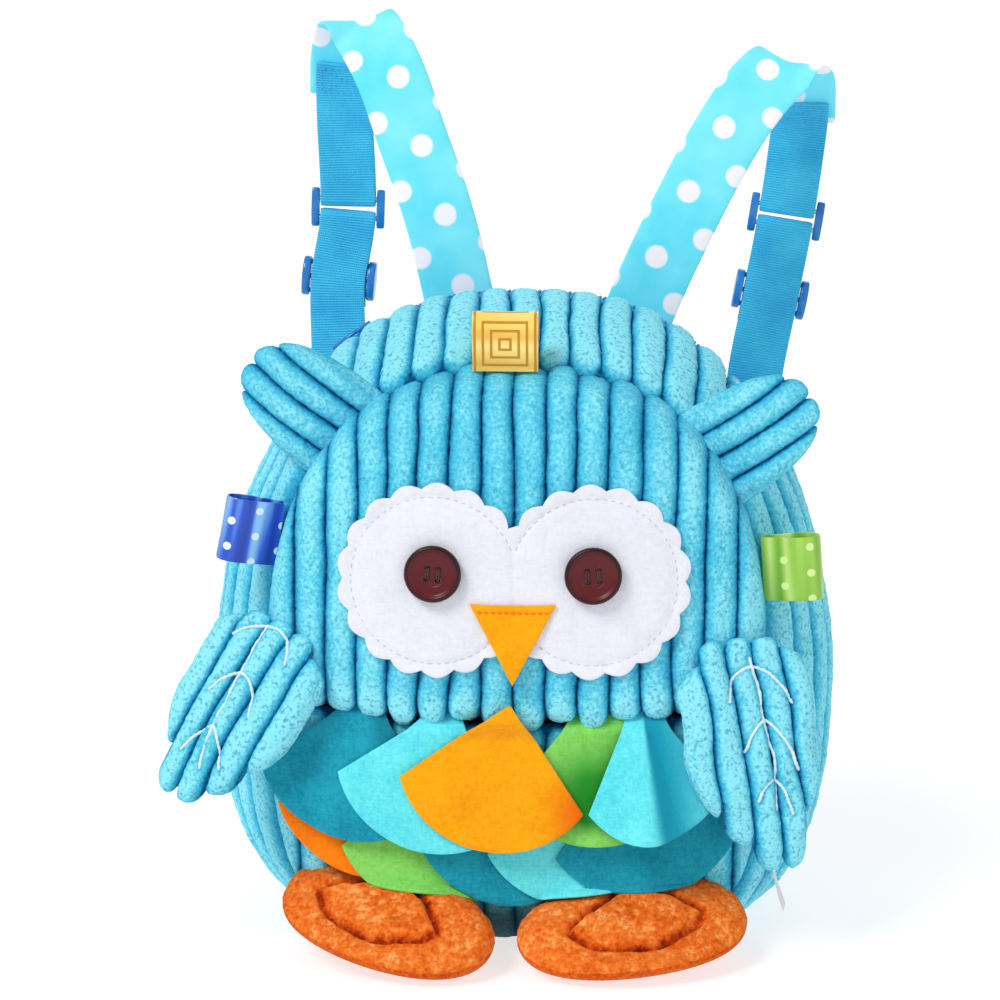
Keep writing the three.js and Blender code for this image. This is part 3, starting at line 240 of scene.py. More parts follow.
def noise(points, size, seed=0):
    """Smooth value noise, from -1 to 1, for points in millimetres; size is its wavelength."""
    p = np.asarray(points, float) / size + 1000.0
    cell = np.floor(p).astype(np.int64)
    f = p - cell
    f = f * f * f * (f * (f * 6 - 15) + 10)
    total = 0.0
    for corner in np.ndindex(2, 2, 2):
        weight = 1.0
        for axis, d in enumerate(corner):
            weight = weight * (f[..., axis] if d else 1 - f[..., axis])
        total = total + weight * hashed(*np.moveaxis(cell + corner, -1, 0), seed)
    return total


def lengths(path):
    """Distance along a path at each of its points."""
    return np.concatenate([[0], np.cumsum(np.linalg.norm(np.diff(path, axis=0), axis=1))])


def flat_noise(a, b, size, seed=0):
    a, b = np.broadcast_arrays(a, b)
    return noise(np.stack([a, b, np.zeros_like(a, float)], -1), size, seed)


def normals(grid):
    """Normals of a grid of points."""
    return unit(np.cross(np.gradient(grid, axis=0), np.gradient(grid, axis=1)))


PILE_COARSE, PILE_FINE = 2.4, 1.25


def with_pile(grid, amount=1.0):
    """A plush surface: small tufts pushed in and out along the normal."""
    n = normals(grid)
    tufts = 0.26 * noise(grid, PILE_COARSE, 3) + 0.2 * noise(grid, PILE_FINE, 4)
    return grid + n * (amount * tufts)[..., None]


def rib_field(across, end):
    """Height of a rib's back, 0 to 1: across in pitches, end the distance to the rib's end in millimetres."""
    share = across - np.floor(across)
    a = np.abs(2 * share - 1) / RIB_BACK
    b = clamp(1 - end / RIB_END)
    return np.sqrt(clamp(1 - a**2.6 - b**2.3))


def rib_columns(low, high, per_rib, pitch=RIB_PITCH):
    """Places across ribbed plush, closer together at the valleys between ribs."""
    shares = np.arange(per_rib) / per_rib
    shares = 0.5 * shares + 0.5 * (0.5 - 0.5 * np.cos(np.pi * shares))
    ribs = np.arange(math.floor(low / pitch), math.ceil(high / pitch) + 1)
    places = (ribs[:, None] + shares).ravel() * pitch
    inside = places[(places > low + 0.02 * pitch) & (places < high - 0.02 * pitch)]
    return np.concatenate([[low], inside, [high]])


def spaced(count, ends=0.35):
    """Values from 0 to 1, closer together at both ends."""
    t = np.linspace(0, 1, count)
    return (1 - ends) * t + ends * (0.5 - 0.5 * np.cos(np.pi * t))


# The bag's form, as in the part's source.
def half_width(depth):
    return BODY_WIDTH / 2 * sample(DEPTH_SECTIONS, "width", depth)


def height_at(depth):
    return BODY_HEIGHT * sample(DEPTH_SECTIONS, "height", depth)


def arch_angle(share, depth):
    return np.arcsin(clamp(share) ** (sample(DEPTH_SECTIONS, "across", depth) / 2))


def bottom_angle(share):
    return np.pi - np.arcsin(clamp(share) ** (BOTTOM_ACROSS / 2))


def shell_point(side, angle, depth, inset):
    angle, depth, inset = np.broadcast_arrays(*(np.asarray(v, float) for v in (angle, depth, inset)))
    width = half_width(depth) - inset
    height = height_at(depth)
    widest = WIDEST_SHARE * height
    upper = angle <= np.pi / 2
    across_power = np.where(upper, sample(DEPTH_SECTIONS, "across", depth), BOTTOM_ACROSS)
    up_power = np.where(upper, sample(DEPTH_SECTIONS, "up", depth), BOTTOM_UP)
    across = np.abs(np.sin(angle)) ** (2 / across_power)
    up = np.abs(np.cos(angle)) ** (2 / up_power)
    z = np.where(
        upper,
        widest + (height - widest - inset) * up,
        widest - (widest - inset) * np.minimum(1, BASE_FLATTEN * up),
    )
    return np.stack([side * width * across, BODY_DEPTH * (depth - 0.5), z], -1)


def over_top(x, depth, inset):
    """Places over the top of the bag; x runs from its left to its right."""
    angle = arch_angle(np.abs(x) / half_width(depth), depth)
    return shell_point(np.where(x < 0, -1.0, 1.0), angle, depth, inset)


FRONT_Y = -BODY_DEPTH / 2
FRONT_HALF = float(half_width(0))
FRONT_HEIGHT = float(height_at(0))
FRONT_WIDEST = WIDEST_SHARE * FRONT_HEIGHT
FRONT_EDGE = SEAM_GAP / BODY_DEPTH
ZIP_START = 1 - (REAR_BAND + ZIP_WIDTH) / BODY_DEPTH
REAR_START = 1 - REAR_BAND / BODY_DEPTH
SIDE_START = TOP_GUSSET_HALF + SHOULDER_GAP
TOP_RIB_SHIFT = 5.5
BACK_Y = BODY_DEPTH / 2 + SEAM_GAP
BACK_FACE_Y = BACK_Y + WALL


def front_top(x):
    return shell_point(1, arch_angle(np.abs(x) / FRONT_HALF, 0), 0, 0)[..., 2]


def front_bottom(x):
    return shell_point(1, bottom_angle(np.abs(x) / FRONT_HALF), 0, 0)[..., 2]


def lip(x):
    return FRONT_WIDEST - LIP_DROP * (1 - (np.asarray(x) / FRONT_HALF) ** 2)


def front_crown(x, z):
    low, high = front_bottom(x), front_top(x)
    span = np.maximum(high - low, 1)
    vertical = clamp(4 * (high - z) * (z - low) / span**2)
    across = np.maximum(1 - (np.abs(x) / FRONT_HALF) ** 2.6, 0)
    return FRONT_CROWN * np.sqrt(across * vertical)


def pad_thickness(edge, pad):
    return PANEL_EDGE + pad * rounded(edge / LIP_ROUND)


def face_out(x, z):
    edge = np.minimum(z - lip(x), front_top(x) - z)
    return front_crown(x, z) + pad_thickness(edge, FACE_PAD) + RIB_HEIGHT * rounded(edge / RIB_END)


def on_face(x, z, over):
    x, z, over = np.broadcast_arrays(*(np.asarray(v, float) for v in (x, z, over)))
    return np.stack([x, FRONT_Y - face_out(x, z) - over, z], -1)


# Materials.
def linear(*rgb):
    """A colour given as 0 to 255 values, for a shader."""
    c = [v / 255 for v in rgb]
    return tuple(v / 12.92 if v <= 0.04045 else ((v + 0.055) / 1.055) ** 2.4 for v in c) + (1.0,)


class Look:
    """A material under construction, with short names for its nodes."""

    def __init__(self, name, **sockets):
        self.material = bpy.data.materials.new(name)
        self.material.use_nodes = True
        self.nodes = self.material.node_tree.nodes
        self.links = self.material.node_tree.links
        self.shader = self.nodes["Principled BSDF"]
        for key, value in sockets.items():
            self.put(self.shader.inputs[key.replace("_", " ")], value)

    def put(self, socket, value):
        if isinstance(value, bpy.types.NodeSocket):
            self.links.new(value, socket)
        else:
            socket.default_value = value

    def place(self, scale=(1, 1, 1), uv=False):
        source = self.nodes.new("ShaderNodeTexCoord").outputs["UV" if uv else "Object"]
        mapping = self.nodes.new("ShaderNodeMapping")
        self.links.new(source, mapping.inputs["Vector"])
        mapping.inputs["Scale"].default_value = scale
        return mapping.outputs["Vector"]

    def axes(self, vector):
        node = self.nodes.new("ShaderNodeSeparateXYZ")
        self.put(node.inputs[0], vector)
        return node.outputs[0], node.outputs[1], node.outputs[2]

    def noise(self, scale, detail=2.0, rough=0.5, at=None):
        node = self.nodes.new("ShaderNodeTexNoise")
        self.put(node.inputs["Vector"], at or self.place())
        node.inputs["Scale"].default_value = scale
        node.inputs["Detail"].default_value = detail
        node.inputs["Roughness"].default_value = rough
        return node.outputs["Fac"]

    def attribute(self, name):
        node = self.nodes.new("ShaderNodeAttribute")
        node.attribute_name = name
        return node.outputs["Fac"]

    def math(self, operation, a, b=0.0, c=0.0):
        node = self.nodes.new("ShaderNodeMath")
        node.operation = operation
        for socket, value in zip(node.inputs, (a, b, c)):
            self.put(socket, value)
        return node.outputs[0]

    def swing(self, value, amount, middle):
        """A noise value, 0 to 1, turned into a swing about a middle."""
        return self.math("MULTIPLY_ADD", self.math("SUBTRACT", value, 0.5), amount, middle)

    def wave(self, value, period):
        return self.math("SINE", self.math("MULTIPLY", value, 2 * math.pi / period))

    def from_cell(self, value):
        """Signed distance from the nearest whole number."""
        return self.math("SUBTRACT", value, self.math("ROUND", value))

    def radius(self, x, y):
        return self.math("SQRT", self.math("MULTIPLY_ADD", x, x, self.math("MULTIPLY", y, y)))

    def ramp(self, value, *stops):
        node = self.nodes.new("ShaderNodeValToRGB")
        self.put(node.inputs[0], value)
        elements = node.color_ramp.elements
        while len(elements) < len(stops):
            elements.new(0.5)
        for element, (at, color) in zip(elements, stops):
            element.position = at
            element.color = color if hasattr(color, "__len__") else (color, color, color, 1)
        return node.outputs["Color"]

    def mix(self, share, a, b):
        node = self.nodes.new("ShaderNodeMix")
        node.data_type = "RGBA"
        self.put(node.inputs[0], share)
        self.put(node.inputs[6], a)
        self.put(node.inputs[7], b)
        return node.outputs[2]

    def bump(self, height, distance, strength=1.0):
        node = self.nodes.new("ShaderNodeBump")
        node.inputs["Strength"].default_value = strength
        node.inputs["Distance"].default_value = distance * MM
        self.put(node.inputs["Height"], height)
        if self.shader.inputs["Normal"].is_linked:
            self.put(node.inputs["Normal"], self.shader.inputs["Normal"].links[0].from_socket)
        self.put(self.shader.inputs["Normal"], node.outputs[0])

    def color(self, value):
        self.put(self.shader.inputs["Base Color"], value)


def plush(name, stops, fleck):
    """Short-pile plush: five colours from deep valleys to tips, with dark flecks along its backs; the pile
    attribute picks the colour, so its low values paint shade and its high values paint light, and the shade
    attribute mixes in a near-black painted shadow.
    """
    look = Look(name, Roughness=0.95, Sheen_Weight=0.1, Sheen_Roughness=0.5, Specular_IOR_Level=0.1)
    look.shader.inputs["Sheen Tint"].default_value = linear(205, 245, 255)
    pile = look.attribute("pile")
    grains = look.noise(620, 2.5, 0.6)
    level = look.swing(look.noise(38, 2), 0.45, look.swing(grains, 0.8, pile))
    # The pile level picks the colour: its low end is painted shade in the valleys, its high end painted light
    # on the tips.
    base = look.ramp(level, *zip((0.0, 0.22, 0.5, 0.8, 1.0), stops))
    pits = look.ramp(look.noise(640, 1.5, 0.5), (0.52, 0.0), (0.7, 1.0))
    backs = look.math("POWER", look.math("MINIMUM", pile, 1.0), 3.0)
    share = look.math("MULTIPLY", look.math("MULTIPLY", pits, fleck), backs)
    flecked = look.mix(share, base, stops[1])
    # Painted shadow: where the shade attribute is set, the colour goes to near-black teal.
    look.color(look.mix(look.attribute("shade"), flecked, linear(12, 28, 36)))
    look.bump(grains, 0.9, 0.8)
    look.bump(look.noise(1700, 1.5), 0.3, 0.5)
    return look.material


def felt(name, color, dark, deep, seed):
    """Pressed felt: short fibres in all directions, a little mottled; deep is a painted shade colour, mixed in
    where the shade attribute marks a fold or a place behind a neighbour.
    """
    look = Look(name, Roughness=0.95, Sheen_Weight=0.25, Sheen_Roughness=0.5, Specular_IOR_Level=0.1)
    look.shader.inputs["Sheen Tint"].default_value = tuple(lerp(np.array(color), 1.0, 0.6))
    fibres = look.noise(700, 3, 0.65, look.place((1, 0.35, 0.5)))
    cross = look.noise(800 + seed, 3, 0.65, look.place((0.35, 1, 1)))
    weave = look.math("MULTIPLY_ADD", look.math("ADD", fibres, cross), 0.5, 0.0)
    level = look.swing(look.noise(60, 2), 0.5, weave)
    # Painted shade: the shade attribute mixes the colour towards deep.
    look.color(look.mix(look.attribute("shade"), look.ramp(level, (0.3, dark), (0.62, color)), deep))
    look.bump(weave, 0.55, 0.6)
    return look.material


def plain(name, color, roughness=0.5, metallic=0.0, grain=0.0, **sockets):
    """A moulded or drawn material with fine grain and slight wear."""
    look = Look(name, Roughness=roughness, Metallic=metallic, **sockets)
    dark = tuple(v * 0.82 for v in color[:3]) + (1.0,)
    look.color(look.ramp(look.noise(90, 3), (0.3, dark), (0.7, color)))
    if grain:
        look.bump(look.noise(900, 2), 0.05, grain)
    return look.material


def button_look(name, color, rim):
    """Moulded button plastic, with painted shade on its rim where the shade attribute marks it."""
    look = Look(name, Roughness=0.34, Specular_IOR_Level=0.3)
    look.color(look.mix(look.attribute("shade"), color, rim))
    look.bump(look.noise(900, 2), 0.05, 0.25)
    return look.material


def webbing_look(name, color, dark):
    """Woven webbing: fine ridges across it and lengthwise yarns."""
    look = Look(name, Roughness=0.72, Sheen_Weight=0.15, Specular_IOR_Level=0.3)
    across, along, _ = look.axes(look.place((1, 1, 1), uv=True))
    height = look.math("MULTIPLY_ADD", look.wave(across, 0.8), 0.35, look.wave(along, 1.15))
    level = look.swing(look.noise(50, 3), 0.9, look.math("MULTIPLY_ADD", height, 0.14, 0.55))
    look.color(look.ramp(level, (0.1, dark), (0.9, color)))
    look.bump(height, 0.16, 0.9)
    return look.material


def dotted(name, ground, dark, pitch, spread, radius, across_shift):
    """Smooth knit with staggered white dots; the UV map is in millimetres across and along."""
    look = Look(name, Roughness=0.7, Sheen_Weight=0.3, Sheen_Roughness=0.4, Specular_IOR_Level=0.25)
    across, along, _ = look.axes(look.place((1, 1, 1), uv=True))
    across = look.math("DIVIDE", look.math("SUBTRACT", across, across_shift), spread)
    column = look.math("ROUND", across)
    dx = look.math("MULTIPLY", look.math("SUBTRACT", across, column), spread)
    along = look.math("MULTIPLY_ADD", column, 0.5, look.math("DIVIDE", along, pitch))
    dy = look.math("MULTIPLY", look.from_cell(along), pitch)
    ragged = look.math("MULTIPLY_ADD", look.noise(900, 2), 0.5, look.radius(dx, dy))
    within = look.math("MAXIMUM", look.math("SUBTRACT", radius + 0.5, ragged), 0.0)
    dot = look.math("SMOOTH_MIN", 1.0, within, 0.1)
    base = look.ramp(look.noise(45, 2), (0.3, dark), (0.7, ground))
    look.color(look.mix(dot, base, linear(250, 246, 250)))
    look.bump(look.noise(1500, 2), 0.12, 0.5)
    return look.material


def ribbon_look(name, light, ground, dark, mark, pattern):
    """Satin ribbon with painted streaks of sheen and a small generic pattern; the UV map is in millimetres."""
    look = Look(name, Roughness=0.3, Sheen_Weight=0.1, Specular_IOR_Level=0.5, Anisotropic=0.4)
    across, along, _ = look.axes(look.place((1, 1, 1), uv=True))
    if pattern == "squares":
        cell = 23.0
        step = 3.4
        y = look.math("DIVIDE", look.math("ADD", along, 1.5), cell)
        y = look.math("MULTIPLY", look.from_cell(y), cell)
        ring = look.math("MAXIMUM", look.math("ABSOLUTE", across), look.math("ABSOLUTE", y))
        wave = look.math("FRACT", look.math("DIVIDE", look.math("ADD", ring, 0.6), step))
        share = look.math("GREATER_THAN", wave, 0.68)
    else:
        cell = 11.0
        x = look.math("DIVIDE", look.math("ADD", across, 1.5), cell)
        row = look.math("DIVIDE", look.math("ADD", along, 2.5), cell)
        x = look.math("MULTIPLY_ADD", look.math("ROUND", row), 0.5, x)
        share = look.math("LESS_THAN", look.radius(look.from_cell(x), look.from_cell(row)), 0.15)
    # Painted sheen: streaks running from a painted shade through the ground colour to a painted highlight.
    streaks = look.noise(0.13, 1.2, 0.5, look.place((0.06, 1, 1), uv=True))
    base = look.ramp(streaks, (0.32, dark), (0.5, ground), (0.68, light))
    look.color(look.mix(share, base, mark))
    look.bump(look.wave(along, 0.5), 0.03, 0.5)
    return look.material


# Meshes.
def grid_faces(nu, nv, start=0, wrap=False):
    i = np.arange(nu if wrap else nu - 1)[:, None]
    j = np.arange(nv - 1)[None, :]
    n = (i + 1) % nu
    quads = np.stack([i * nv + j, n * nv + j, n * nv + j + 1, i * nv + j + 1], -1)
    return (quads.reshape(-1, 4) + start).tolist()


def pad_mesh(grid):
    """A closed body from one outer grid: its first and last rows are joined behind, and its ends capped."""
    nu, nv, _ = grid.shape
    faces = grid_faces(nu, nv)
    last = nv - 1
    faces += [[i * nv + last, (i + 1) * nv + last, (i + 1) * nv, i * nv] for i in range(nu - 1)]
    faces += [[0, j + 1, j] for j in range(1, last)]
    end = (nu - 1) * nv
    faces += [[end, end + j, end + j + 1] for j in range(1, last)]
    return grid.reshape(-1, 3), faces


def shell_mesh(front, back, wrap=False):
    """A closed body from a front and a back grid, joined all round."""
    nu, nv, _ = front.shape
    count = nu * nv
    faces = grid_faces(nu, nv, 0, wrap)
    faces += [face[::-1] for face in grid_faces(nu, nv, count, wrap)]
    last = nv - 1
    for i in range(nu if wrap else nu - 1):
        n = (i + 1) % nu
        faces.append([n * nv, i * nv, count + i * nv, count + n * nv])
        faces.append([i * nv + last, n * nv + last, count + n * nv + last, count + i * nv + last])
    if not wrap:
        end = (nu - 1) * nv
        for j in range(last):
            faces.append([j, j + 1, count + j + 1, count + j])
            faces.append([end + j + 1, end + j, count + end + j, count + end + j + 1])
    return np.concatenate([front.reshape(-1, 3), back.reshape(-1, 3)]), faces


def joined(parts):
    """Several (points, faces) bodies as one."""
    points, faces, start = [], [], 0
    for p, f in parts:
        p = np.asarray(p, float)
        points.append(p)
        faces += [[k + start for k in face] for face in f]
        start += len(p)
    return np.concatenate(points), faces


def faced_out(points, faces):
    """The faces turned to face outwards."""
    tri = np.array([(f[0], f[k], f[k + 1]) for f in faces for k in range(1, len(f) - 1)])
    a, b, c = points[tri[:, 0]], points[tri[:, 1]], points[tri[:, 2]]
    volume = np.einsum("ij,ij->i", a, np.cross(b, c)).sum()
    return [face[::-1] for face in faces] if volume < 0 else faces


def tube_part(path, radius, sides=8):
    """A round yarn, cord or bar along a path; radius is one value or one for each point."""
    path = np.asarray(path, float)
    count = len(path)
    radii = np.broadcast_to(np.asarray(radius, float), (count,))
    tangent = unit(np.gradient(path, axis=0))
    up = np.array([0.0, 0.0, 1.0]) if abs(tangent[0][2]) < 0.9 else np.array([1.0, 0.0, 0.0])
    a = unit(np.cross(tangent[0], up))
    rings = []
    for k in range(count):
        a = unit(a - tangent[k] * np.dot(a, tangent[k]))
        b = np.cross(tangent[k], a)
        turn = np.linspace(0, 2 * np.pi, sides, endpoint=False)
        rings.append(path[k] + radii[k] * (np.cos(turn)[:, None] * a + np.sin(turn)[:, None] * b))
    points = np.concatenate(rings)
    faces = []
    for k in range(count - 1):
        for s in range(sides):
            n = (s + 1) % sides
            faces.append([k * sides + s, k * sides + n, (k + 1) * sides + n, (k + 1) * sides + s])
    faces.append(list(range(sides))[::-1])
    faces.append([(count - 1) * sides + s for s in range(sides)])
    return points, faces


def smooth_path(points, count):
    """A smooth curve through points, with evenly spread parameters."""
    points = np.asarray(points, float)
    length = lengths(points)
    at = np.linspace(0, length[-1], count)
    return np.stack([sample({"at": length, "value": column}, "value", at) for column in points.T], -1)


def new_object(name, data):
    obj = bpy.data.objects.new(name, data)
    bpy.context.scene.collection.objects.link(obj)
    return obj


def make(name, points, faces, look, slot, replaces=None, uv=None, pile=None, shade=None, sharp=None, fill=None,
         outward=True):
    """A piece of the owl, riding on its one body."""
    points = np.asarray(points, float)
    if outward:
        faces = faced_out(points, faces)
    mesh = bpy.data.meshes.new(name)
    mesh.from_pydata((points * MM).tolist(), [], faces)
    for key, values in (("pile", pile), ("shade", shade)):
        if values is not None:
            data = mesh.attributes.new(key, "FLOAT", "POINT").data
            data.foreach_set("value", np.asarray(values, float).ravel())
    if uv is not None:
        corners = np.empty(len(mesh.loops), np.int32)
        mesh.loops.foreach_get("vertex_index", corners)
        layer = mesh.uv_layers.new(name="UVMap")
        layer.data.foreach_set("uv", np.asarray(uv, float).reshape(-1, 2)[corners].ravel())
    body = bmesh.new()
    body.from_mesh(mesh)
    bmesh.ops.remove_doubles(body, verts=body.verts, dist=2e-6)
    bmesh.ops.dissolve_degenerate(body, edges=body.edges, dist=1e-7)
    body.to_mesh(mesh)
    body.free()
    mesh.polygons.foreach_set("use_smooth", np.ones(len(mesh.polygons), bool))
    if sharp:
        mesh.set_sharp_from_angle(angle=math.radians(sharp))
    mesh.materials.append(look)
    obj = new_object(name, mesh)
    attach(obj, "root")
    if replaces:
        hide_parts(replaces)
    return obj


def make_parts(name, parts, look, slot, replaces=None):
    """One piece of several (points, faces) bodies."""
    make(name, *joined(parts), look, slot, replaces, outward=False)


def shades(*colors):
    return [linear(*color) for color in colors]


# Each plush runs from a painted valley shade colour up to lit tips.
PLUSH = plush(
    "plush", shades((0, 74, 120), (8, 128, 174), (48, 172, 210), (94, 206, 232), (142, 232, 246)), 0.62)
REAR_PLUSH = plush(
    "rear_plush", shades((4, 70, 120), (10, 110, 165), (36, 152, 198), (66, 184, 222), (92, 204, 234)), 0.35)
FOOT_PLUSH = plush(
    "foot_plush", shades((112, 26, 2), (168, 50, 6), (220, 92, 22), (246, 128, 46), (255, 170, 96)), 0.7)
FOOT_PLUSH.node_tree.nodes["Principled BSDF"].inputs["Sheen Tint"].default_value = linear(255, 190, 130)
# Each felt: its colour, a darker fibre colour, and a painted shade colour for folds and places behind a
# neighbour.
FELTS = {
    name: felt(f"{name}_felt", *shades(*colors), seed)
    for name, seed, colors in (
        ("white", 3, ((234, 235, 243), (222, 223, 233), (200, 201, 214))),
        ("orange", 11, ((252, 172, 12), (236, 148, 4), (230, 92, 2))),
        ("amber", 23, ((255, 136, 10), (244, 104, 3), (214, 70, 2))),
        ("green", 31, ((140, 218, 104), (108, 194, 74), (36, 142, 40))),
        ("teal", 41, ((32, 162, 184), (12, 130, 156), (2, 86, 112))),
        ("aqua", 53, ((112, 234, 240), (72, 208, 222), (8, 150, 176))),
    )
}
STRAP_CLOTH = dotted("dotted_cloth", linear(138, 240, 252), linear(96, 226, 246), 31.8, 15.8, 5.2, 3.0)
WEBBING = webbing_look("webbing", linear(78, 216, 252), linear(20, 154, 216))
PLASTIC = plain("blue_plastic", linear(28, 128, 206), 0.22, grain=0.3, Specular_IOR_Level=0.6)
STEEL = plain("steel", linear(225, 228, 232), 0.22, 1.0)
BUTTON = button_look("button", linear(92, 22, 27), linear(48, 10, 17))
THREAD = plain("button_thread", linear(84, 50, 46), 0.8, grain=1.0)
WHITE_YARN = plain("white_yarn", linear(226, 246, 250), 0.8, grain=1.0, Sheen_Weight=0.3)
PATCH_THREAD = plain("patch_thread", linear(206, 207, 221), 0.8, grain=1.0)
ZIP_TAPE = webbing_look("zip_tape", linear(60, 176, 226), linear(24, 134, 196))
ZIP_COIL = plain("zip_coil", linear(40, 146, 206), 0.35, grain=0.3)
# Each ribbon: painted highlight, ground, painted shade, and pattern colour.
RIBBONS = {
    name: ribbon_look(f"{name}_ribbon", *shades(*colors), pattern)
    for name, pattern, colors in (
        ("blue", "dots", ((150, 206, 250), (30, 88, 212), (8, 36, 142), (236, 246, 255))),
        ("green", "dots", ((214, 238, 140), (150, 202, 70), (92, 158, 26), (214, 240, 150))),
        ("yellow", "squares", ((255, 230, 130), (252, 210, 100), (236, 182, 62), (196, 134, 26))),
    )
}
LABEL_CLOTH = plain("label_cloth", linear(246, 243, 250), 0.6, grain=0.4)
WEBBING_THREAD = plain("webbing_thread", linear(84, 190, 240), 0.7, grain=0.6)


# Body panels: painted light on each panel's pile as a whole; the top of the bag is painted lighter and the face
# darker, as the light falls from above.
FACE_BRIGHT, TOP_BRIGHT, SIDE_BRIGHT, EAR_BRIGHT, WING_BRIGHT = 0.84, 1.2, 1.04, 0.88, 1.08


def painted_rib_shade(across, count, edge):
    """Painted shade on the pile, as brightness: dark in the valleys between ribs, bright on backs, ends and
    outer edges.
    """
    crest = rib_field(across, np.full_like(across, RIB_END))
    outer = np.maximum(1 - 2 * across, 1 - 2 * (count - across))
    # A little painted shade within 5 mm of an end; the valleys' dark is painted shade too.
    return np.maximum(crest, clamp(1.3 * outer)) * (0.75 + 0.25 * rounded(edge / 5))


def wobble(x, z, seed=7):
    """How far a rib strays sideways from its straight line."""
    return 0.85 * flat_noise(x, z, 34, seed) + 0.35 * flat_noise(x, z, 13, seed + 1)


def rib_of(x, pitch=RIB_PITCH):
    return np.floor(np.asarray(x) / pitch + 1e-6)


def face_panel():
    columns = rib_columns(-FRONT_HALF, FRONT_HALF, 18)[:, None]
    rows = spaced(150)[None, :]
    crest = rib_field(columns / RIB_PITCH, np.full_like(columns, RIB_END))
    fade = 1 - (columns / FRONT_HALF) ** 4
    stray = hashed(rib_of(columns), 5) * 2.3 * crest * fade
    low = lip(columns) + (2.4 - 4.6 * crest) * fade + stray
    high = front_top(columns) + (2.9 * crest - 1.6) * fade + 0.5 * stray
    z = lerp(low, high, rows)
    x = columns + 1.4 * wobble(columns, z) * fade
    edge = np.minimum(z - low, high - z)
    field = rib_field(columns / RIB_PITCH, edge)
    lumps = 1 + 0.1 * flat_noise(rib_of(columns) * 9.0, z, 16, 12) + 0.07 * hashed(rib_of(columns), 9)
    crown = front_crown(columns, clamp(z, front_bottom(columns) + 0.1, front_top(columns)))
    out = crown + pad_thickness(edge, FACE_PAD) - 0.7 + (RIB_HEIGHT + 0.9) * field * lumps
    grid = with_pile(np.stack([x, FRONT_Y - out, z], -1))
    tucks = []
    for row in (0, -1):
        edge_points = grid[:, row].copy()
        edge_points[:, 1] = FRONT_Y - crown[:, row] + 3.5
        tucks.append(edge_points[:, None])
    grid = np.concatenate([tucks[0], grid, tucks[1]], 1)
    pile = painted_rib_shade((columns + FRONT_HALF) / RIB_PITCH + 1 - FRONT_HALF / RIB_PITCH % 1, 99, edge)
    # Painted light: the pile is lighter within 20 mm of the lip and towards the face's sides, on top of the
    # painted valley shade.
    painted_light_at_lip = 0.4 * smooth((low + 20 - z) / 16)
    pile = pile * (FACE_BRIGHT + painted_light_at_lip + 0.14 * np.abs(columns / FRONT_HALF) ** 2)
    points, faces = pad_mesh(grid)
    pile = np.pad(pile, ((0, 0), (1, 1)))
    make("plush_face", points, faces, PLUSH, "plush", "face_panel", pile=pile, fill=0.8)


def belly_panel():
    columns = rib_columns(-FRONT_HALF, FRONT_HALF, 9)[:, None]
    rows = spaced(80)[None, :]
    crest = rib_field(columns / RIB_PITCH, np.full_like(columns, RIB_END))
    low = front_bottom(columns)
    high = lip(columns) - (1.4 + SEAM_GAP) * (1 - (columns / FRONT_HALF) ** 8)
    z = lerp(low, high, rows)
    edge = np.minimum(z - low, high - z)
    field = rib_field(columns / RIB_PITCH, edge)
    crown = front_crown(columns, z)
    out = crown + pad_thickness(edge, WALL) + RIB_HEIGHT * field
    x = columns + 0.7 * wobble(columns, z, 17) * (1 - np.abs(columns / FRONT_HALF) ** 4)
    grid = with_pile(np.stack([x, FRONT_Y - out, z], -1))
    grid = np.concatenate([grid, grid[:, -1:] + [0, 6, 0]], 1)
    field = np.pad(field, ((0, 0), (0, 1)))
    points, faces = pad_mesh(grid)
    # Painted shadow: the belly goes near-black low down between the feet; its pile is darker in the valleys as
    # painted shade.
    painted_shadow_between_feet = (1 - smooth((grid[..., 2] - 12) / 22)) * (1 - smooth((np.abs(grid[..., 0]) - 38) / 18))
    make("plush_belly", points, faces, PLUSH, "plush", "belly_panel", pile=field * crest**0.1,
         shade=0.9 * painted_shadow_between_feet, fill=0.7)


def top_gusset():
    low, high = TOP_RIB_SHIFT - TOP_GUSSET_HALF, TOP_RIB_SHIFT + TOP_GUSSET_HALF
    columns = rib_columns(low, high, 16)[:, None] - TOP_RIB_SHIFT
    rows = spaced(84, 0.45)[None, :]
    end = ZIP_START - SEAM_GAP / BODY_DEPTH
    depth = lerp(FRONT_EDGE * 0.5, end, rows)
    edge = np.minimum(depth - FRONT_EDGE * 0.5, end - depth) * BODY_DEPTH
    field = rib_field((columns + TOP_RIB_SHIFT) / RIB_PITCH, edge)
    lumps = 1 + 0.16 * flat_noise(rib_of(columns + TOP_RIB_SHIFT) * 9.0, depth * BODY_DEPTH, 15, 21)
    x = columns + 1.3 * wobble(columns, depth * BODY_DEPTH, 27) * (1 - (columns / TOP_GUSSET_HALF) ** 8)
    height = (RIB_HEIGHT + 0.9) * field * lumps - 0.9 + 1.0 * flat_noise(columns, depth * BODY_DEPTH, 40, 22)
    tuck = clamp(1 - edge / 2.5)
    grid = with_pile(over_top(x, depth, -height + 3.5 * tuck**2))
    points, faces = pad_mesh(grid)
    # Painted shade in the valleys and at the rib ends, and painted light on the top as a whole.
    make("plush_top_gusset", points, faces, PLUSH, "plush", "top_gusset", pile=field * TOP_BRIGHT, fill=0.6)


def even_rows(curve, count):
    """Parameters that step evenly along a curve of points."""
    t = np.linspace(0, 1, 3000)
    path = curve(t)
    length = lengths(path)
    return np.interp(spaced(count, 0.2) * length[-1], length, t), length[-1]


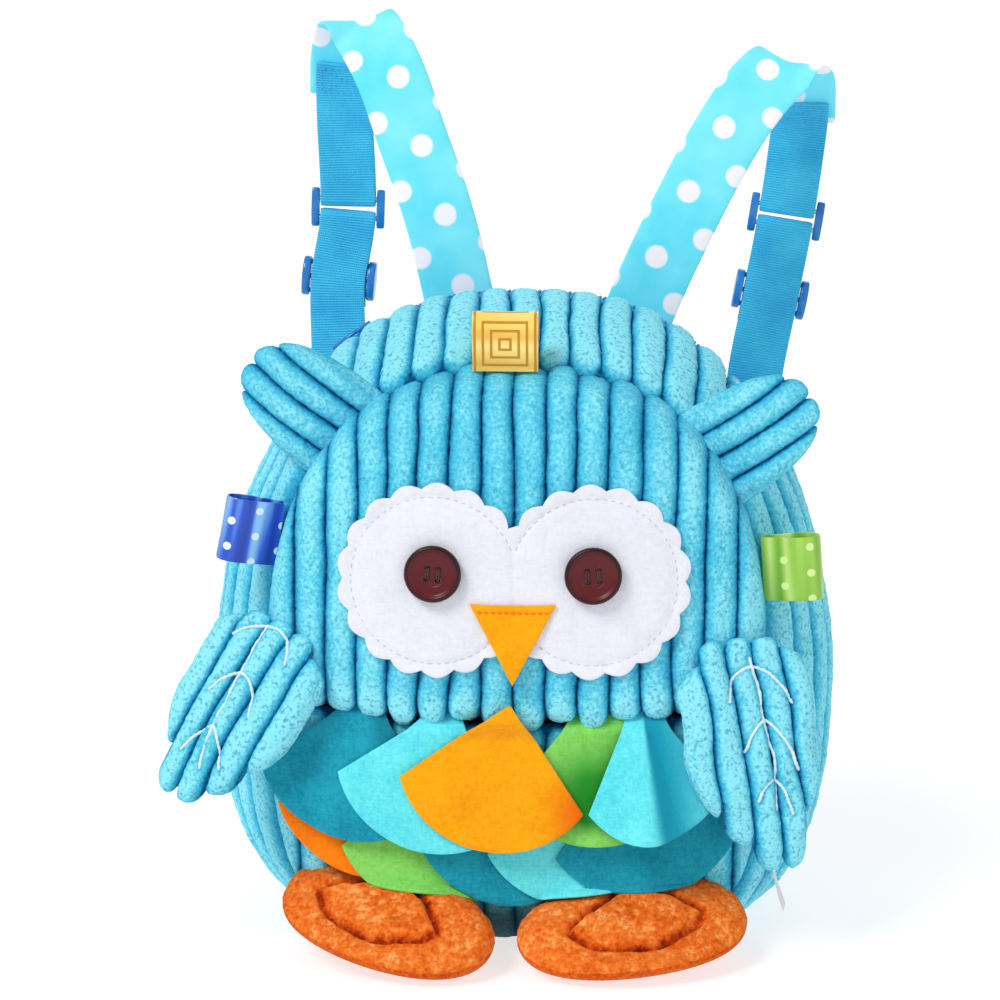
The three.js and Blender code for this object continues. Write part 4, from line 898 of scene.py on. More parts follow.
def side_gusset(name, side):
    ribs = round(BODY_DEPTH / RIB_PITCH)
    pitch = (1 - 2 * FRONT_EDGE) / ribs
    columns = FRONT_EDGE + rib_columns(0, ribs * pitch, 13, pitch)[:, None]
    end = bottom_angle(BASE_HALF_SHARE) - SEAM_GAP / BODY_HEIGHT

    def start(depth):
        return arch_angle(SIDE_START / half_width(depth), depth)

    rows, length = even_rows(lambda t: shell_point(side, lerp(start(0.5), end, t), 0.5, 0), 190)
    v = rows[None, :]
    position = spaced(190, 0.2)[None, :] * length
    edge = np.minimum(position, length - position)
    across = (columns - FRONT_EDGE) / pitch
    field = rib_field(across, edge)
    mm_across = columns * BODY_DEPTH
    lumps = 1 + 0.12 * flat_noise(np.floor(across) * 9.0, position, 17, 31 + side)
    height = (RIB_HEIGHT + 0.7) * field * lumps - 0.7 + 1.6 * flat_noise(mm_across, position, 46, 33 + side)
    seam = clamp(1 - np.minimum(columns - FRONT_EDGE, 1 - FRONT_EDGE - columns) * BODY_DEPTH / 2.5)
    stray = 0.01 * flat_noise(mm_across, position, 30, 35 + side) * (1 - (2 * columns - 1) ** 8)
    depth = columns + stray
    inset = -height + 3.0 * np.maximum(seam**2, clamp(1 - edge / 2.5) ** 2)
    grid = with_pile(shell_point(side, lerp(start(depth), end, v), depth, inset))
    grid[..., 2] = np.maximum(grid[..., 2], 0)
    points, faces = pad_mesh(grid)
    # Painted shade in the valleys and at the rib ends, times the side's painted light.
    make(f"plush_side_{name}", points, faces, PLUSH, "plush", f"side_gusset_{name}", pile=field * SIDE_BRIGHT,
         fill=0.6)


def rear_band():
    """The narrow plain band behind the zip."""
    low, high, crown = REAR_START + FRONT_EDGE, 1 - 0.5 * FRONT_EDGE, 0.6
    columns = np.linspace(-TOP_GUSSET_HALF, TOP_GUSSET_HALF, 150)[:, None]
    depth = lerp(low, high, spaced(14, 0.6))[None, :]
    share = (depth - low) / (high - low)
    swell = np.sqrt(clamp(4 * share * (1 - share)))
    grid = over_top(columns, depth, 2.0 - (2.0 + crown) * swell)
    points, faces = pad_mesh(with_pile(grid, 0.6))
    # Painted shade towards the band's seams, lighter on its swell.
    pile = np.broadcast_to(0.25 + 0.55 * swell, grid.shape[:2])
    make("plush_rear_band", points, faces, REAR_PLUSH, "plush_rear", "rear_band", pile=pile)


def arch_frame(x, depth, out):
    """A place on the top of the bag, with the directions along the arch and back."""
    along = unit(over_top(x + 0.5, depth, -out) - over_top(x - 0.5, depth, -out))
    return over_top(x, depth, -out), along, np.array([0.0, 1.0, 0.0])


def zipper():
    columns = np.linspace(-TOP_GUSSET_HALF, TOP_GUSSET_HALF, 120)[:, None]
    depth = lerp(ZIP_START - 0.01, REAR_START + 0.005, np.linspace(0, 1, 12))[None, :]
    share = np.linspace(0, 1, 12)[None, :]
    lift = 0.9 * np.exp(-(((share - 0.5) / 0.22) ** 2)) - 1.4 * np.abs(2 * share - 1) ** 3
    uv = np.stack(np.broadcast_arrays(share * ZIP_WIDTH, columns * 1.15), -1)
    points, faces = pad_mesh(over_top(columns, depth, -lift))
    make("zip_tape", points, faces, ZIP_TAPE, "zip_tape", "zipper", uv=uv)
    middle = (ZIP_START + REAR_START) / 2
    across = np.linspace(0, TOP_GUSSET_HALF - 3, 400)
    length = lengths(over_top(across, middle, -ZIP_COIL_LIFT))
    places = np.interp(np.arange(ZIP_TOOTH_PITCH / 2, length[-1], ZIP_TOOTH_PITCH), length, across)
    teeth = []
    for x in np.concatenate([-places[::-1], places]):
        centre, along, back = arch_frame(x, middle, ZIP_COIL_LIFT)
        path = [centre + (back * ZIP_COIL_WIDTH / 2 + 0.5 * along) * s for s in (-1, -0.6, 0, 0.6, 1)]
        teeth.append(tube_part(path, [0.35, 0.8, 0.85, 0.8, 0.35], 7))
    make_parts("zip_teeth", teeth, ZIP_COIL, "zip_tape")


def rounded_slab(half, centre, axes, round_by=0.35):
    """A box with soft edges, given by its half sizes, centre and axes."""
    u = np.linspace(0, 2 * np.pi, 40, endpoint=False)
    v = np.linspace(-np.pi / 2, np.pi / 2, 21)
    power = lambda value: np.sign(value) * np.abs(value) ** round_by
    x = power(np.cos(u))[:, None] * np.abs(np.cos(v)) ** round_by
    y = power(np.sin(u))[:, None] * np.abs(np.cos(v)) ** round_by
    z = np.broadcast_to(power(np.sin(v)), x.shape)
    local = np.stack([x * half[0], y * half[1], z * half[2]], -1)
    points = centre + local @ np.array(axes)
    return points.reshape(-1, 3), grid_faces(len(u), len(v), 0, True)


def zip_pull():
    depth = (ZIP_START + REAR_START) / 2
    centre, along, back = arch_frame(PULL_ACROSS * TOP_GUSSET_HALF, depth, 2.0)
    up = np.cross(along, back)
    axes = (along, back, up)
    parts = [
        rounded_slab((4.5, 3.5, 1.0), centre + up * 0.9, axes),
        rounded_slab((3.6, 2.6, 0.8), centre + up * 2.6, axes),
        rounded_slab((1.4, 0.9, 1.4), centre + up * 1.9, axes),
    ]
    tab = centre - along * 10.0 + up * 2.9
    turn = np.linspace(0, 2 * np.pi, 29)
    ring = [tab + along * (6.6 * math.cos(a)) + back * (2.0 * math.sin(a)) for a in turn]
    parts.append(tube_part(ring, 0.75, 8))
    parts.append(rounded_slab((3.4, 1.9, 0.6), tab - along * 3.0, axes))
    make_parts("zip_slider", parts, PLASTIC, "slider_plastic", "zip_pull")


def base_panel():
    shares = np.linspace(-1, 1, 90)[:, None] * BASE_HALF_SHARE
    depth = lerp(FRONT_EDGE, 1 - FRONT_EDGE, np.linspace(0, 1, 40))[None, :]
    grid = shell_point(np.where(shares < 0, -1.0, 1.0), bottom_angle(np.abs(shares)), depth, 0 * shares)
    inner = grid + [0, 0, WALL]
    points, faces = shell_mesh(grid, inner)
    make("plush_base", points, faces, REAR_PLUSH, "plush_rear", "base_panel",
         pile=np.full(len(points), 0.6), sharp=50)


def back_panel():
    """The plain plush back: a soft pad with a seam all round and a few shallow folds."""
    turn = np.linspace(0, 2 * np.pi, 260, endpoint=False)
    upper = arch_angle(np.sin(np.linspace(0, np.pi / 2, 66)), 1)
    lower = bottom_angle(np.cos(np.linspace(0, np.pi / 2, 66)) * 0.999 + 0.001)
    half = np.concatenate([shell_point(1, upper, 1, 0.0), shell_point(1, lower, 1, 0.0)[1:]])
    outline = np.concatenate([half, half[::-1][1:-1] * [-1, 1, 1]])
    centre = 0.47 * BODY_HEIGHT
    length = lengths(np.append(outline, outline[:1], 0))
    share = turn / (2 * np.pi) * length[-1]
    even = np.stack([np.interp(share, length, np.append(outline[:, k], outline[0, k])) for k in (0, 2)], -1)
    rings = 1 - (1 - np.linspace(0, 1, 60)) ** 1.3
    x = even[:, None, 0] * rings
    z = centre + (even[:, None, 1] - centre) * rings
    edge = (1 - rings) * 110
    folds = 0.9 * flat_noise(x, z, 60, 41) + 0.45 * flat_noise(x, z, 22, 42)
    depth_in = 0.9 + folds * smooth(edge / 30)
    y = BACK_FACE_Y - 2.6 * (1 - rounded(edge / 7)) - clamp(depth_in, 0, 3)
    front = with_pile(np.stack([x, y, z], -1), 0.7)
    back = np.stack([x, np.full_like(x, BACK_Y - 3), z], -1)
    points, faces = shell_mesh(front, back, True)
    # Painted shade round the seam at the edge; the inner face gets none.
    pile = np.concatenate([(0.35 + 0.5 * rounded(edge / 7) + 0 * x).ravel(), np.zeros(x.size)])
    make("plush_back", points, faces, REAR_PLUSH, "plush_rear", "back_panel", pile=pile, fill=0.4)


face_panel()
belly_panel()
top_gusset()
side_gusset("left", -1)
side_gusset("right", 1)
rear_band()
zipper()
zip_pull()
base_panel()
back_panel()


# Face: eye patch, beak and buttons.
def eye_outline(per_bump=12):
    """The patch's scalloped edge, round both circles."""
    half = EYE_SPACING / 2
    step = 2 * math.pi / EYE_SCALLOPS
    meet = math.acos(-half / EYE_RADIUS)
    count = round(2 * meet / step)
    place = np.arange(count * per_bump) / (count * per_bump)
    angle = lerp(-meet, meet, place)
    bump = np.abs(np.sin(place * count * np.pi))
    r = EYE_RADIUS - EYE_SCALLOP_DEPTH * (1 - bump)
    right = np.stack([half + r * np.cos(angle), r * np.sin(angle)], -1)
    return np.concatenate([right, -right]) + [0, EYE_HEIGHT]


def patch_relief(x, z):
    """Height of the felt patch over the ribs: a little into the valleys and along its stitching."""
    ribs = 0.3 * (rib_field(x / RIB_PITCH, np.full_like(x, RIB_END)) - 1)
    edge = np.hypot(np.abs(x) - EYE_SPACING / 2, z - EYE_HEIGHT) - (EYE_RADIUS - EYE_STITCH_INSET)
    groove = -0.65 * np.exp(-(edge**2))
    lift = 0.5 * smooth((edge - 1) / 6)
    return FELT_CLEARANCE + ribs + groove + lift + 0.25 * flat_noise(x, z, 28, 51)


def eye_patch():
    outline = eye_outline()
    rings = spaced(34, 0.5)[None, :]
    x = outline[:, None, 0] * rings
    z = EYE_HEIGHT + (outline[:, None, 1] - EYE_HEIGHT) * rings
    over = patch_relief(x, z)
    rim = clamp((1 - rings) * EYE_RADIUS / 0.6)
    soft = 0.35 * (1 - rounded(rim))
    bottom = on_face(x, z, over + soft)
    top = on_face(x, z, over + FELT - soft)
    points, faces = shell_mesh(top, bottom, True)
    patch = make("felt_eye_patch", points, faces, FELTS["white"], "white_felt", "eye_patch", sharp=60)
    stitches = []
    half = EYE_SPACING / 2
    radius = EYE_RADIUS - EYE_STITCH_INSET
    meet = math.acos(-half / radius) - 0.05
    count = int(2 * meet * radius / 3.4)
    for side in (-1, 1):
        for k in range(count):
            angles = lerp(-meet, meet, (k + np.array([0.14, 0.32, 0.5, 0.68, 0.86])) / count)
            px = side * (half + radius * np.cos(angles))
            pz = EYE_HEIGHT + radius * np.sin(angles)
            dip = np.array([-0.3, 0.05, 0.1, 0.05, -0.3])
            stitches.append(tube_part(on_face(px, pz, patch_relief(px, pz) + FELT + dip), 0.24, 6))
    make_parts("eye_patch_stitches", stitches, PATCH_THREAD, "white_felt")


def beak():
    u = np.linspace(-1, 1, 60)[:, None]
    v = spaced(60, 0.3)[None, :]
    x = u * BEAK_WIDTH / 2 * v
    z = BEAK_TOP - BEAK_LENGTH * (1 - v) + 0.5 * u * u * v
    inset = np.minimum((1 - np.abs(u)) * BEAK_WIDTH / 2 * v, (1 - v) * BEAK_LENGTH)
    band = np.exp(-(((BEAK_TOP - 2.9 - z) / 0.9) ** 2))
    lift = BEAK_LIFT * (1 - v) ** 2 + OVER_PATCH - 0.35 * band + 0.15 * flat_noise(x, z, 12, 61)
    soft = 0.3 * (1 - rounded(inset / 0.6))
    top = on_face(x, z, lift + FELT - soft)
    bottom = on_face(x, z, lift + soft)
    points, faces = shell_mesh(top, bottom)
    piece = make("felt_beak", points, faces, FELTS["orange"], "orange_felt", "beak", sharp=60)
    stitches = []
    for k in range(11):
        xs = (k - 5 + np.array([-0.36, -0.15, 0, 0.15, 0.36])) * 2.75
        zs = np.full(5, BEAK_TOP - 2.9)
        over = OVER_PATCH + FELT - 0.2 + np.array([-0.3, 0.1, 0.15, 0.1, -0.3])
        stitches.append(tube_part(on_face(xs, zs, over), 0.26, 6))
    make_parts("beak_stitches", stitches, FELTS["amber"], "orange_felt")


def lathe_part(profile, sides):
    """A closed body turned round the Z axis; the profile runs from the axis back to the axis."""
    turn = np.linspace(0, 2 * np.pi, sides, endpoint=False)
    profile = np.asarray(profile, float)
    grid = np.stack(
        [
            np.cos(turn)[:, None] * profile[:, 0],
            np.sin(turn)[:, None] * profile[:, 0],
            np.broadcast_to(profile[:, 1], (sides, len(profile))),
        ],
        -1,
    )
    return grid.reshape(-1, 3), grid_faces(sides, len(profile), 0, True)


def rounded_profile(corners, radius=0.5, steps=4):
    """A turned profile with its inner corners rounded off."""
    corners = np.asarray(corners, float)
    line = [corners[0]]
    for before, corner, after in zip(corners, corners[1:], corners[2:]):
        a, b = unit(before - corner), unit(after - corner)
        reach = min(radius, 0.45 * np.linalg.norm(before - corner), 0.45 * np.linalg.norm(after - corner))
        for t in np.linspace(0, 1, steps):
            line.append(corner + (1 - t) ** 2 * reach * a + t * t * reach * b)
    line.append(corners[-1])
    return line


def bare_object(name, points, faces):
    mesh = bpy.data.meshes.new(name)
    points = np.asarray(points, float)
    mesh.from_pydata((points * MM).tolist(), [], faced_out(points, faces))
    body = bmesh.new()
    body.from_mesh(mesh)
    bmesh.ops.remove_doubles(body, verts=body.verts, dist=2e-6)
    body.to_mesh(mesh)
    body.free()
    return new_object(name, mesh)


def button_body():
    """Points and faces of a four-hole button, facing +Z."""
    r, h = BUTTON_RADIUS, BUTTON_THICKNESS
    dish = h - BUTTON_DISH
    profile = rounded_profile(
        [(0, 0), (r - 2, 0), (r, 0.4 * h), (r, 0.75 * h), (r - 0.8, h), (r - BUTTON_RIM + 0.5, h),
         (r - BUTTON_RIM - 0.7, dish), (5.6, dish - 0.25), (5.0, dish - 0.6), (0, dish - 0.6)],
        0.7,
    )
    disc = bare_object("button_disc", *lathe_part(profile, 96))
    holes = []
    for x in (-1, 1):
        for y in (-1, 1):
            ring = [(0, -1), (BUTTON_HOLE_RADIUS, -1), (BUTTON_HOLE_RADIUS, 6), (0, 6)]
            points, faces = lathe_part(ring, 20)
            holes.append((points + [x * BUTTON_HOLE_SPACING / 2, y * BUTTON_HOLE_SPACING / 2, 0], faces))
    drill = bare_object("button_drill", *joined(holes))
    cut = disc.modifiers.new("holes", "BOOLEAN")
    cut.object = drill
    cut.operation = "DIFFERENCE"
    cut.solver = "EXACT"
    bpy.context.view_layer.update()
    done = disc.evaluated_get(bpy.context.evaluated_depsgraph_get()).to_mesh()
    points = np.array([v.co for v in done.vertices]) / MM
    faces = [list(p.vertices) for p in done.polygons]
    for obj in (disc, drill):
        mesh = obj.data
        bpy.data.objects.remove(obj)
        bpy.data.meshes.remove(mesh)
    return points, faces


def buttons():
    points, faces = button_body()
    for name, side in (("left", -1), ("right", 1)):
        x, z = side * EYE_SPACING / 2, EYE_HEIGHT + BUTTON_RAISE
        reach = BUTTON_RADIUS
        seat = on_face([x + reach, x - reach, x, x], [z, z, z + reach, z - reach], OVER_PATCH)
        along, up = unit(seat[0] - seat[1]), unit(seat[2] - seat[3])
        out = unit(np.cross(along, up))
        up = np.cross(out, along)
        centre = on_face(x, z, OVER_PATCH) + out * 0.2 * reach**2 / FRONT_HALF
        spin = math.radians(4 * side)
        c, s = math.cos(spin), math.sin(spin)
        axes = np.array([c * along + s * up, c * up - s * along, out])
        # Painted shade on the button's rim.
        rim = smooth((np.linalg.norm(points[:, :2], axis=1) - (BUTTON_RADIUS - BUTTON_RIM + 0.2)) / 0.8)
        made = points @ axes + centre
        make(f"button_{name}", made, faces, BUTTON, "button", f"eye_button_{name}", shade=rim, sharp=38)
        threads = []
        top = BUTTON_THICKNESS - BUTTON_DISH - 0.6
        for sx in (-1, 1):
            for strand in (-0.42, 0.42):
                ys = np.linspace(-1, 1, 9) * BUTTON_HOLE_SPACING / 2
                lift = top + 0.55 - 1.6 * np.abs(ys / ys[-1]) ** 6
                xs = np.full(9, sx * BUTTON_HOLE_SPACING / 2 + strand)
                threads.append(tube_part(np.stack([xs, ys, lift], -1) @ axes + centre, 0.4, 7))
        make_parts(f"button_thread_{name}", threads, THREAD, "button")


eye_patch()
beak()
buttons()


# Limbs.
WING_RIB, WING_STEP = 4.3, 0.45


def rotation(axis, degrees):
    c, s = math.cos(math.radians(degrees)), math.sin(math.radians(degrees))
    return {
        "x": np.array([[1, 0, 0], [0, c, -s], [0, s, c]]),
        "y": np.array([[c, 0, s], [0, 1, 0], [-s, 0, c]]),
        "z": np.array([[c, -s, 0], [s, c, 0], [0, 0, 1]]),
    }[axis]


def wing_place(row):
    s = row["side"]
    turn = rotation("y", -s * row["lean"]) @ rotation("z", s * row["turn"]) @ rotation("x", row["lift"])
    at = np.array([
        s * row["across"] * BODY_WIDTH / 2,
        FRONT_Y - row["forward"] * (FRONT_CROWN + WALL),
        row["height"] * BODY_HEIGHT,
    ])
    return turn, at


def wing_ends(row, x, crest):
    share = clamp(x / WING_WIDTH + 0.5)
    length = row["size"] * WING_LENGTH
    rib = np.clip(np.floor(share * WING_RIBS), 0, WING_RIBS - 1)
    stepped = lerp(share, (rib + 0.5) / WING_RIBS, WING_STEP)
    stagger = 0.035 * hashed(rib, 77 + row["side"])
    notch = WING_NOTCH * (1 - crest)
    low = -length * (sample(WING_SHAPE, "reach", stepped) - notch + stagger * crest)
    high = -length * (sample(WING_SHAPE, "top", stepped) + 0.5 * notch + 0.5 * stagger * crest)
    return share, low, high


def wing_out(row, x, z):
    """Half thickness of a wing at a place; x counts from its inner edge's side."""
    across = (x + WING_WIDTH / 2) / (WING_WIDTH / WING_RIBS)
    full = rib_field(across, np.full_like(x, RIB_END))
    share, low, high = wing_ends(row, x, full)
    v = clamp((z - low) / (high - low))
    field = rib_field(across, np.minimum(z - low, high - z))
    swell = np.sqrt(clamp(1 - (2 * share - 1) ** 4)) * np.sqrt(clamp(4 * v * (1 - v)))
    base = (WING_THICKNESS / 2 - RIB_HEIGHT) * swell + 2 * SEAM_GAP
    return base + WING_RIB * field * np.sqrt(swell), field


def line_distance(x, z, lines):
    """Distance from places on a wing to its embroidered lines."""
    best = np.full(np.broadcast(x, z).shape, 1e9)
    for line in lines:
        path = smooth_path(line, 24)
        for (ax, az), (bx, bz) in zip(path, path[1:]):
            dx, dz = bx - ax, bz - az
            t = clamp(((x - ax) * dx + (z - az) * dz) / (dx * dx + dz * dz))
            best = np.minimum(best, np.hypot(x - ax - t * dx, z - az - t * dz))
    return best


def wing(name):
    row = WINGS[name]
    side = row["side"]
    pitch = WING_WIDTH / WING_RIBS
    columns = rib_columns(0, WING_WIDTH, 16, pitch)[:, None] - WING_WIDTH / 2
    crest = rib_field((columns + WING_WIDTH / 2) / pitch, np.full_like(columns, RIB_END))
    _, low, high = wing_ends(row, columns, crest)
    z = lerp(low, high, spaced(104, 0.45)[None, :])
    lines = EMBROIDERY[name]
    world_x = side * columns
    near = np.exp(-((line_distance(world_x, z, lines) / 1.9) ** 2))
    out, field = wing_out(row, columns + 0 * z, z)
    stray = 1.6 * flat_noise(columns, z, 26, 71 + side) * clamp((z - low) / 8) * clamp((high - z) / 8)
    crumple = 0.9 * flat_noise(columns, z, 16, 73 + side)
    bend = 1.8 * flat_noise(columns, z, 55, 75 + side)
    rim = clamp(np.minimum(z - low, high - z) / 6)
    front_out = out + crumple * rim - 1.5 * near * field
    x = world_x + side * stray
    front = with_pile(np.stack([x, bend - front_out, z], -1))
    back = with_pile(np.stack([x, bend + out, z], -1))
    turn, at = wing_place(row)
    points, faces = shell_mesh(front, back)
    # Painted shade in the valleys and beside the sunk embroidery, times the wing's painted light.
    bright = painted_rib_shade((columns + WING_WIDTH / 2) / pitch + 0 * z, WING_RIBS, np.minimum(z - low, high - z))
    pile = WING_BRIGHT * np.concatenate([(bright * (1 - 0.25 * near)).ravel(), bright.ravel()])
    points = points @ turn.T + at
    make(f"plush_wing_{name}", points, faces, PLUSH, "plush", f"wing_{name}", pile=pile, fill=0.5)
    yarns = []
    for line in lines:
        path = smooth_path(line, 60)
        lx, lz = side * path[:, 0], path[:, 1]
        surface, fields = wing_out(row, lx, lz)
        sunk = surface - 1.5 * fields + 0.1 + 0.9 * flat_noise(lx, lz, 16, 73 + side)
        sunk = np.convolve(np.pad(sunk, 2, mode="edge"), np.ones(5) / 5, "valid")
        y = 1.8 * flat_noise(lx, lz, 55, 75 + side) - sunk - 0.2 + 0.4 * flat_noise(lx, lz, 3.5, 79)
        beads = 0.68 + 0.12 * np.sin(np.arange(60) * 1.9) + 0.1 * flat_noise(lx, lz, 4, 80)
        beads[[0, -1]] = 0.2
        yarn = np.stack([path[:, 0] + 0.35 * flat_noise(lx, lz, 5, 78), y, lz], -1)
        yarns.append(tube_part(yarn @ turn.T + at, beads, 8))
    make_parts(f"wing_embroidery_{name}", yarns, WHITE_YARN, "plush")


def ear(name):
    row = EARS[name]
    side = row["side"]
    pitch = EAR_WIDTH / EAR_RIBS
    columns = rib_columns(-EAR_WIDTH / 2, EAR_WIDTH / 2, 16, pitch)[:, None]
    share = np.abs(2 * columns / EAR_WIDTH)
    crest = rib_field(columns / pitch, np.full_like(columns, RIB_END))
    high = EAR_HEIGHT * np.sqrt(clamp(1 - share**2.8)) + 3.4 * crest - 2.6
    v = spaced(70, 0.4)[None, :]
    up = lerp(-EAR_SINK, high, v)
    swell = np.sqrt(clamp(1 - share**4)) * np.sqrt(clamp(1 - v**4))
    foot = lerp(0.4, 1, clamp((up + EAR_SINK) / (2 * EAR_SINK)))
    field = rib_field(columns / pitch, high - up)
    ribs = (RIB_HEIGHT + 0.5) * field * np.sqrt(swell)
    out = (EAR_THICKNESS / 2 - RIB_HEIGHT) * swell * foot + ribs * lerp(0.5, 1, foot) + SEAM_GAP
    x = columns + 0.8 * flat_noise(columns, up, 24, 81 + side) * clamp((high - up) / 8)
    bend = 1.2 * flat_noise(columns, up, 40, 83 + side)
    front = with_pile(np.stack([x + 0 * up, up, bend + out], -1))
    back = with_pile(np.stack([x + 0 * up, up, bend - out], -1))
    root = shell_point(side, arch_angle(row["seat"], 0), 0, 0)
    lift = math.radians(row["lift"])
    axis = np.array([side * math.cos(lift), 0, math.sin(lift)])
    outward = np.array([0.0, -1.0, 0.0])
    axes = np.array([np.cross(axis, outward), axis, outward])
    points, faces = shell_mesh(front, back)
    place = points @ axes + [root[0], FRONT_Y + EAR_SET_BACK, root[2]]
    # Painted shade in the valleys, times the ear's painted light.
    bright = painted_rib_shade((columns + EAR_WIDTH / 2) / pitch + 0 * up, EAR_RIBS, high - up)
    pile = EAR_BRIGHT * np.concatenate([bright.ravel(), bright.ravel()])
    make(f"plush_ear_{name}", place, faces, PLUSH, "plush", f"ear_{name}", pile=pile, fill=0.7)


def foot_half(across):
    """Half of a foot's thickness, which is less at the toes; across runs from -1 there to 1 at the back."""
    return FOOT_THICKNESS / 2 * lerp(FOOT_TOE_SHARE, 1, smooth((across + 0.95) / 1.35))


def foot_heights(u, v):
    """A foot's upper and lower surface, with the sewn almond; u runs round it, v outwards."""
    a, b, c = FOOT_LENGTH / 2, FOOT_DEPTH / 2, FOOT_THICKNESS / 2
    x, y = a * v * np.cos(u), b * v * np.sin(u)
    half = foot_half(v * np.sin(u))
    reach, width = 30.0, 13.5
    wander = 1.3 * flat_noise(x, y, 13, 91) + 0.5 * flat_noise(x, y, 5, 92)
    edge = width * clamp(1 - np.abs(x / reach) ** 1.8)
    away = (np.abs(y + 9) - edge) / np.sqrt(1 + (1.5 * width * x / reach**2) ** 2) + wander
    within = smooth((1.12 * reach - np.abs(x)) / 6)
    groove = 2.4 * np.exp(-((away / 1.5) ** 2)) * within
    almond = 1.6 * smooth(-away / 5) * within
    crumple = 1.7 * flat_noise(x * 0.7, y * 1.5, 13, 93) + 0.8 * flat_noise(x * 0.6, y * 1.6, 6, 94)
    relief = (almond + crumple * (0.5 + 0.5 * smooth(-away / 4))) * clamp((1 - v) / 0.2)
    upper = half - c + half * np.sqrt(clamp(1 - v**3.4)) - groove * clamp((1 - v) / 0.1) + relief
    lower = half - c - half * np.minimum(1, 1.12 * np.sqrt(clamp(1 - v**3)))
    return x, y, upper, lower, groove


def foot_place(row):
    s = row["side"]
    turn = rotation("z", s * row["turn"]) @ rotation("y", -s * row["roll"])
    return turn, np.array([s * row["across"] * BODY_WIDTH, FRONT_Y - row["forward"] * BODY_DEPTH, 0.0])


FOOT_LIFT = {}


def foot(name):
    row = FEET[name]
    u = np.linspace(0, 2 * np.pi, 230, endpoint=False)[:, None]
    v = (1 - (1 - np.linspace(0, 1, 84)) ** 1.3)[None, :]
    x, y, top, under, groove = foot_heights(u, v)
    terry = 0.4 * noise(np.stack([x, y, top], -1), 2.6, 95) + 0.3 * noise(np.stack([x, y, top], -1), 1.5, 96)
    upper = np.stack([x, y, top], -1)
    upper = upper + normals(upper) * terry[..., None]
    lower = np.stack([x, y, under], -1)
    points, faces = shell_mesh(upper, lower, True)
    turn, at = foot_place(row)
    placed = points @ turn.T + at
    FOOT_LIFT[name] = -float(placed[:, 2].min())
    placed[:, 2] += FOOT_LIFT[name]
    # Painted shade in the sewn groove and painted light on the raised terry tufts; the underside is even.
    pile = np.concatenate([clamp(0.72 - 0.22 * groove + 0.5 * terry).ravel(), np.full(x.size, 0.5)])
    make(f"plush_foot_{name}", placed, faces, FOOT_PLUSH, "foot_plush", f"foot_{name}", pile=pile, fill=0.8)


for limb in ("left", "right"):
    wing(limb)
    ear(limb)
    foot(limb)


# Feathers.
def drape(x, z):
    inside = clamp(x, -FEATHER_SPREAD * FRONT_HALF, FEATHER_SPREAD * FRONT_HALF)
    crown = front_crown(inside, np.maximum(z, FEATHER_HANG_HEIGHT))
    share = smooth((z - lip(inside)) / LIP_BLEND + 0.5)
    return crown + PANEL_EDGE + RIB_HEIGHT + lerp(WALL, FACE_PAD, share)


def behind_wings(points):
    """Felt that passes behind a wing is pushed back clear of it."""
    for row in WINGS.values():
        turn, at = wing_place(row)
        local = (points - at) @ turn
        x = row["side"] * local[..., 0]
        z = local[..., 2]
        _, low, high = wing_ends(row, x, np.ones_like(x))
        inside = np.minimum(np.minimum(WING_WIDTH / 2 - np.abs(x), z - low), high - z)
        out, _ = wing_out(row, clamp(x, -WING_WIDTH / 2, WING_WIDTH / 2), z)
        need = np.maximum(out + 1.2 - local[..., 1], 0)
        push = need * smooth((inside + 14) / 15)
        points = points + push[..., None] * turn[:, 1]
    return points


def over_feet(points):
    """Felt that would reach into a foot lies on top of it."""
    for name, row in FEET.items():
        turn, at = foot_place(row)
        at = at + [0, 0, FOOT_LIFT[name]]
        local = (points - at) @ turn
        share = np.hypot(local[..., 0] / (FOOT_LENGTH / 2), local[..., 1] / (FOOT_DEPTH / 2))
        half = foot_half(local[..., 1] / (FOOT_DEPTH / 2))
        top = half - FOOT_THICKNESS / 2 + half * np.sqrt(clamp(1 - clamp(share) ** 3.4)) + 2.5
        inside = smooth((1.12 - share) / 0.12)
        need = np.maximum(top - local[..., 2], 0) * inside
        points = points + need[..., None] * turn[:, 2] * 0.75 - need[..., None] * [0, 0.5, 0]
    return points


def fold_shade(name, s, v):
    """Painted shade on each place of a feather, 0 to 1: how deep in a fold or behind its neighbour it lies."""
    if name == "top_curl":
        return smooth((s + 0.08) / 0.16) * (1 - 0.75 * smooth(1.4 * s * v - 0.1))
    if name == "top_orange":
        return 0.9 * smooth((s - 0.5) / 0.5) * smooth((v - 0.55) / 0.45)
    if name == "top_green":
        return clamp(1.05 * smooth((v - 0.2) / 0.4) * smooth((s + 0.95) / 0.8) * (1 - smooth((v - 0.8) / 0.15)))
    if name == "top_teal":
        return 0.5 * smooth((s - 0.1) / 0.6) * (1 - smooth((v - 0.85) / 0.15)) + 0 * v
    return 0 * s * v


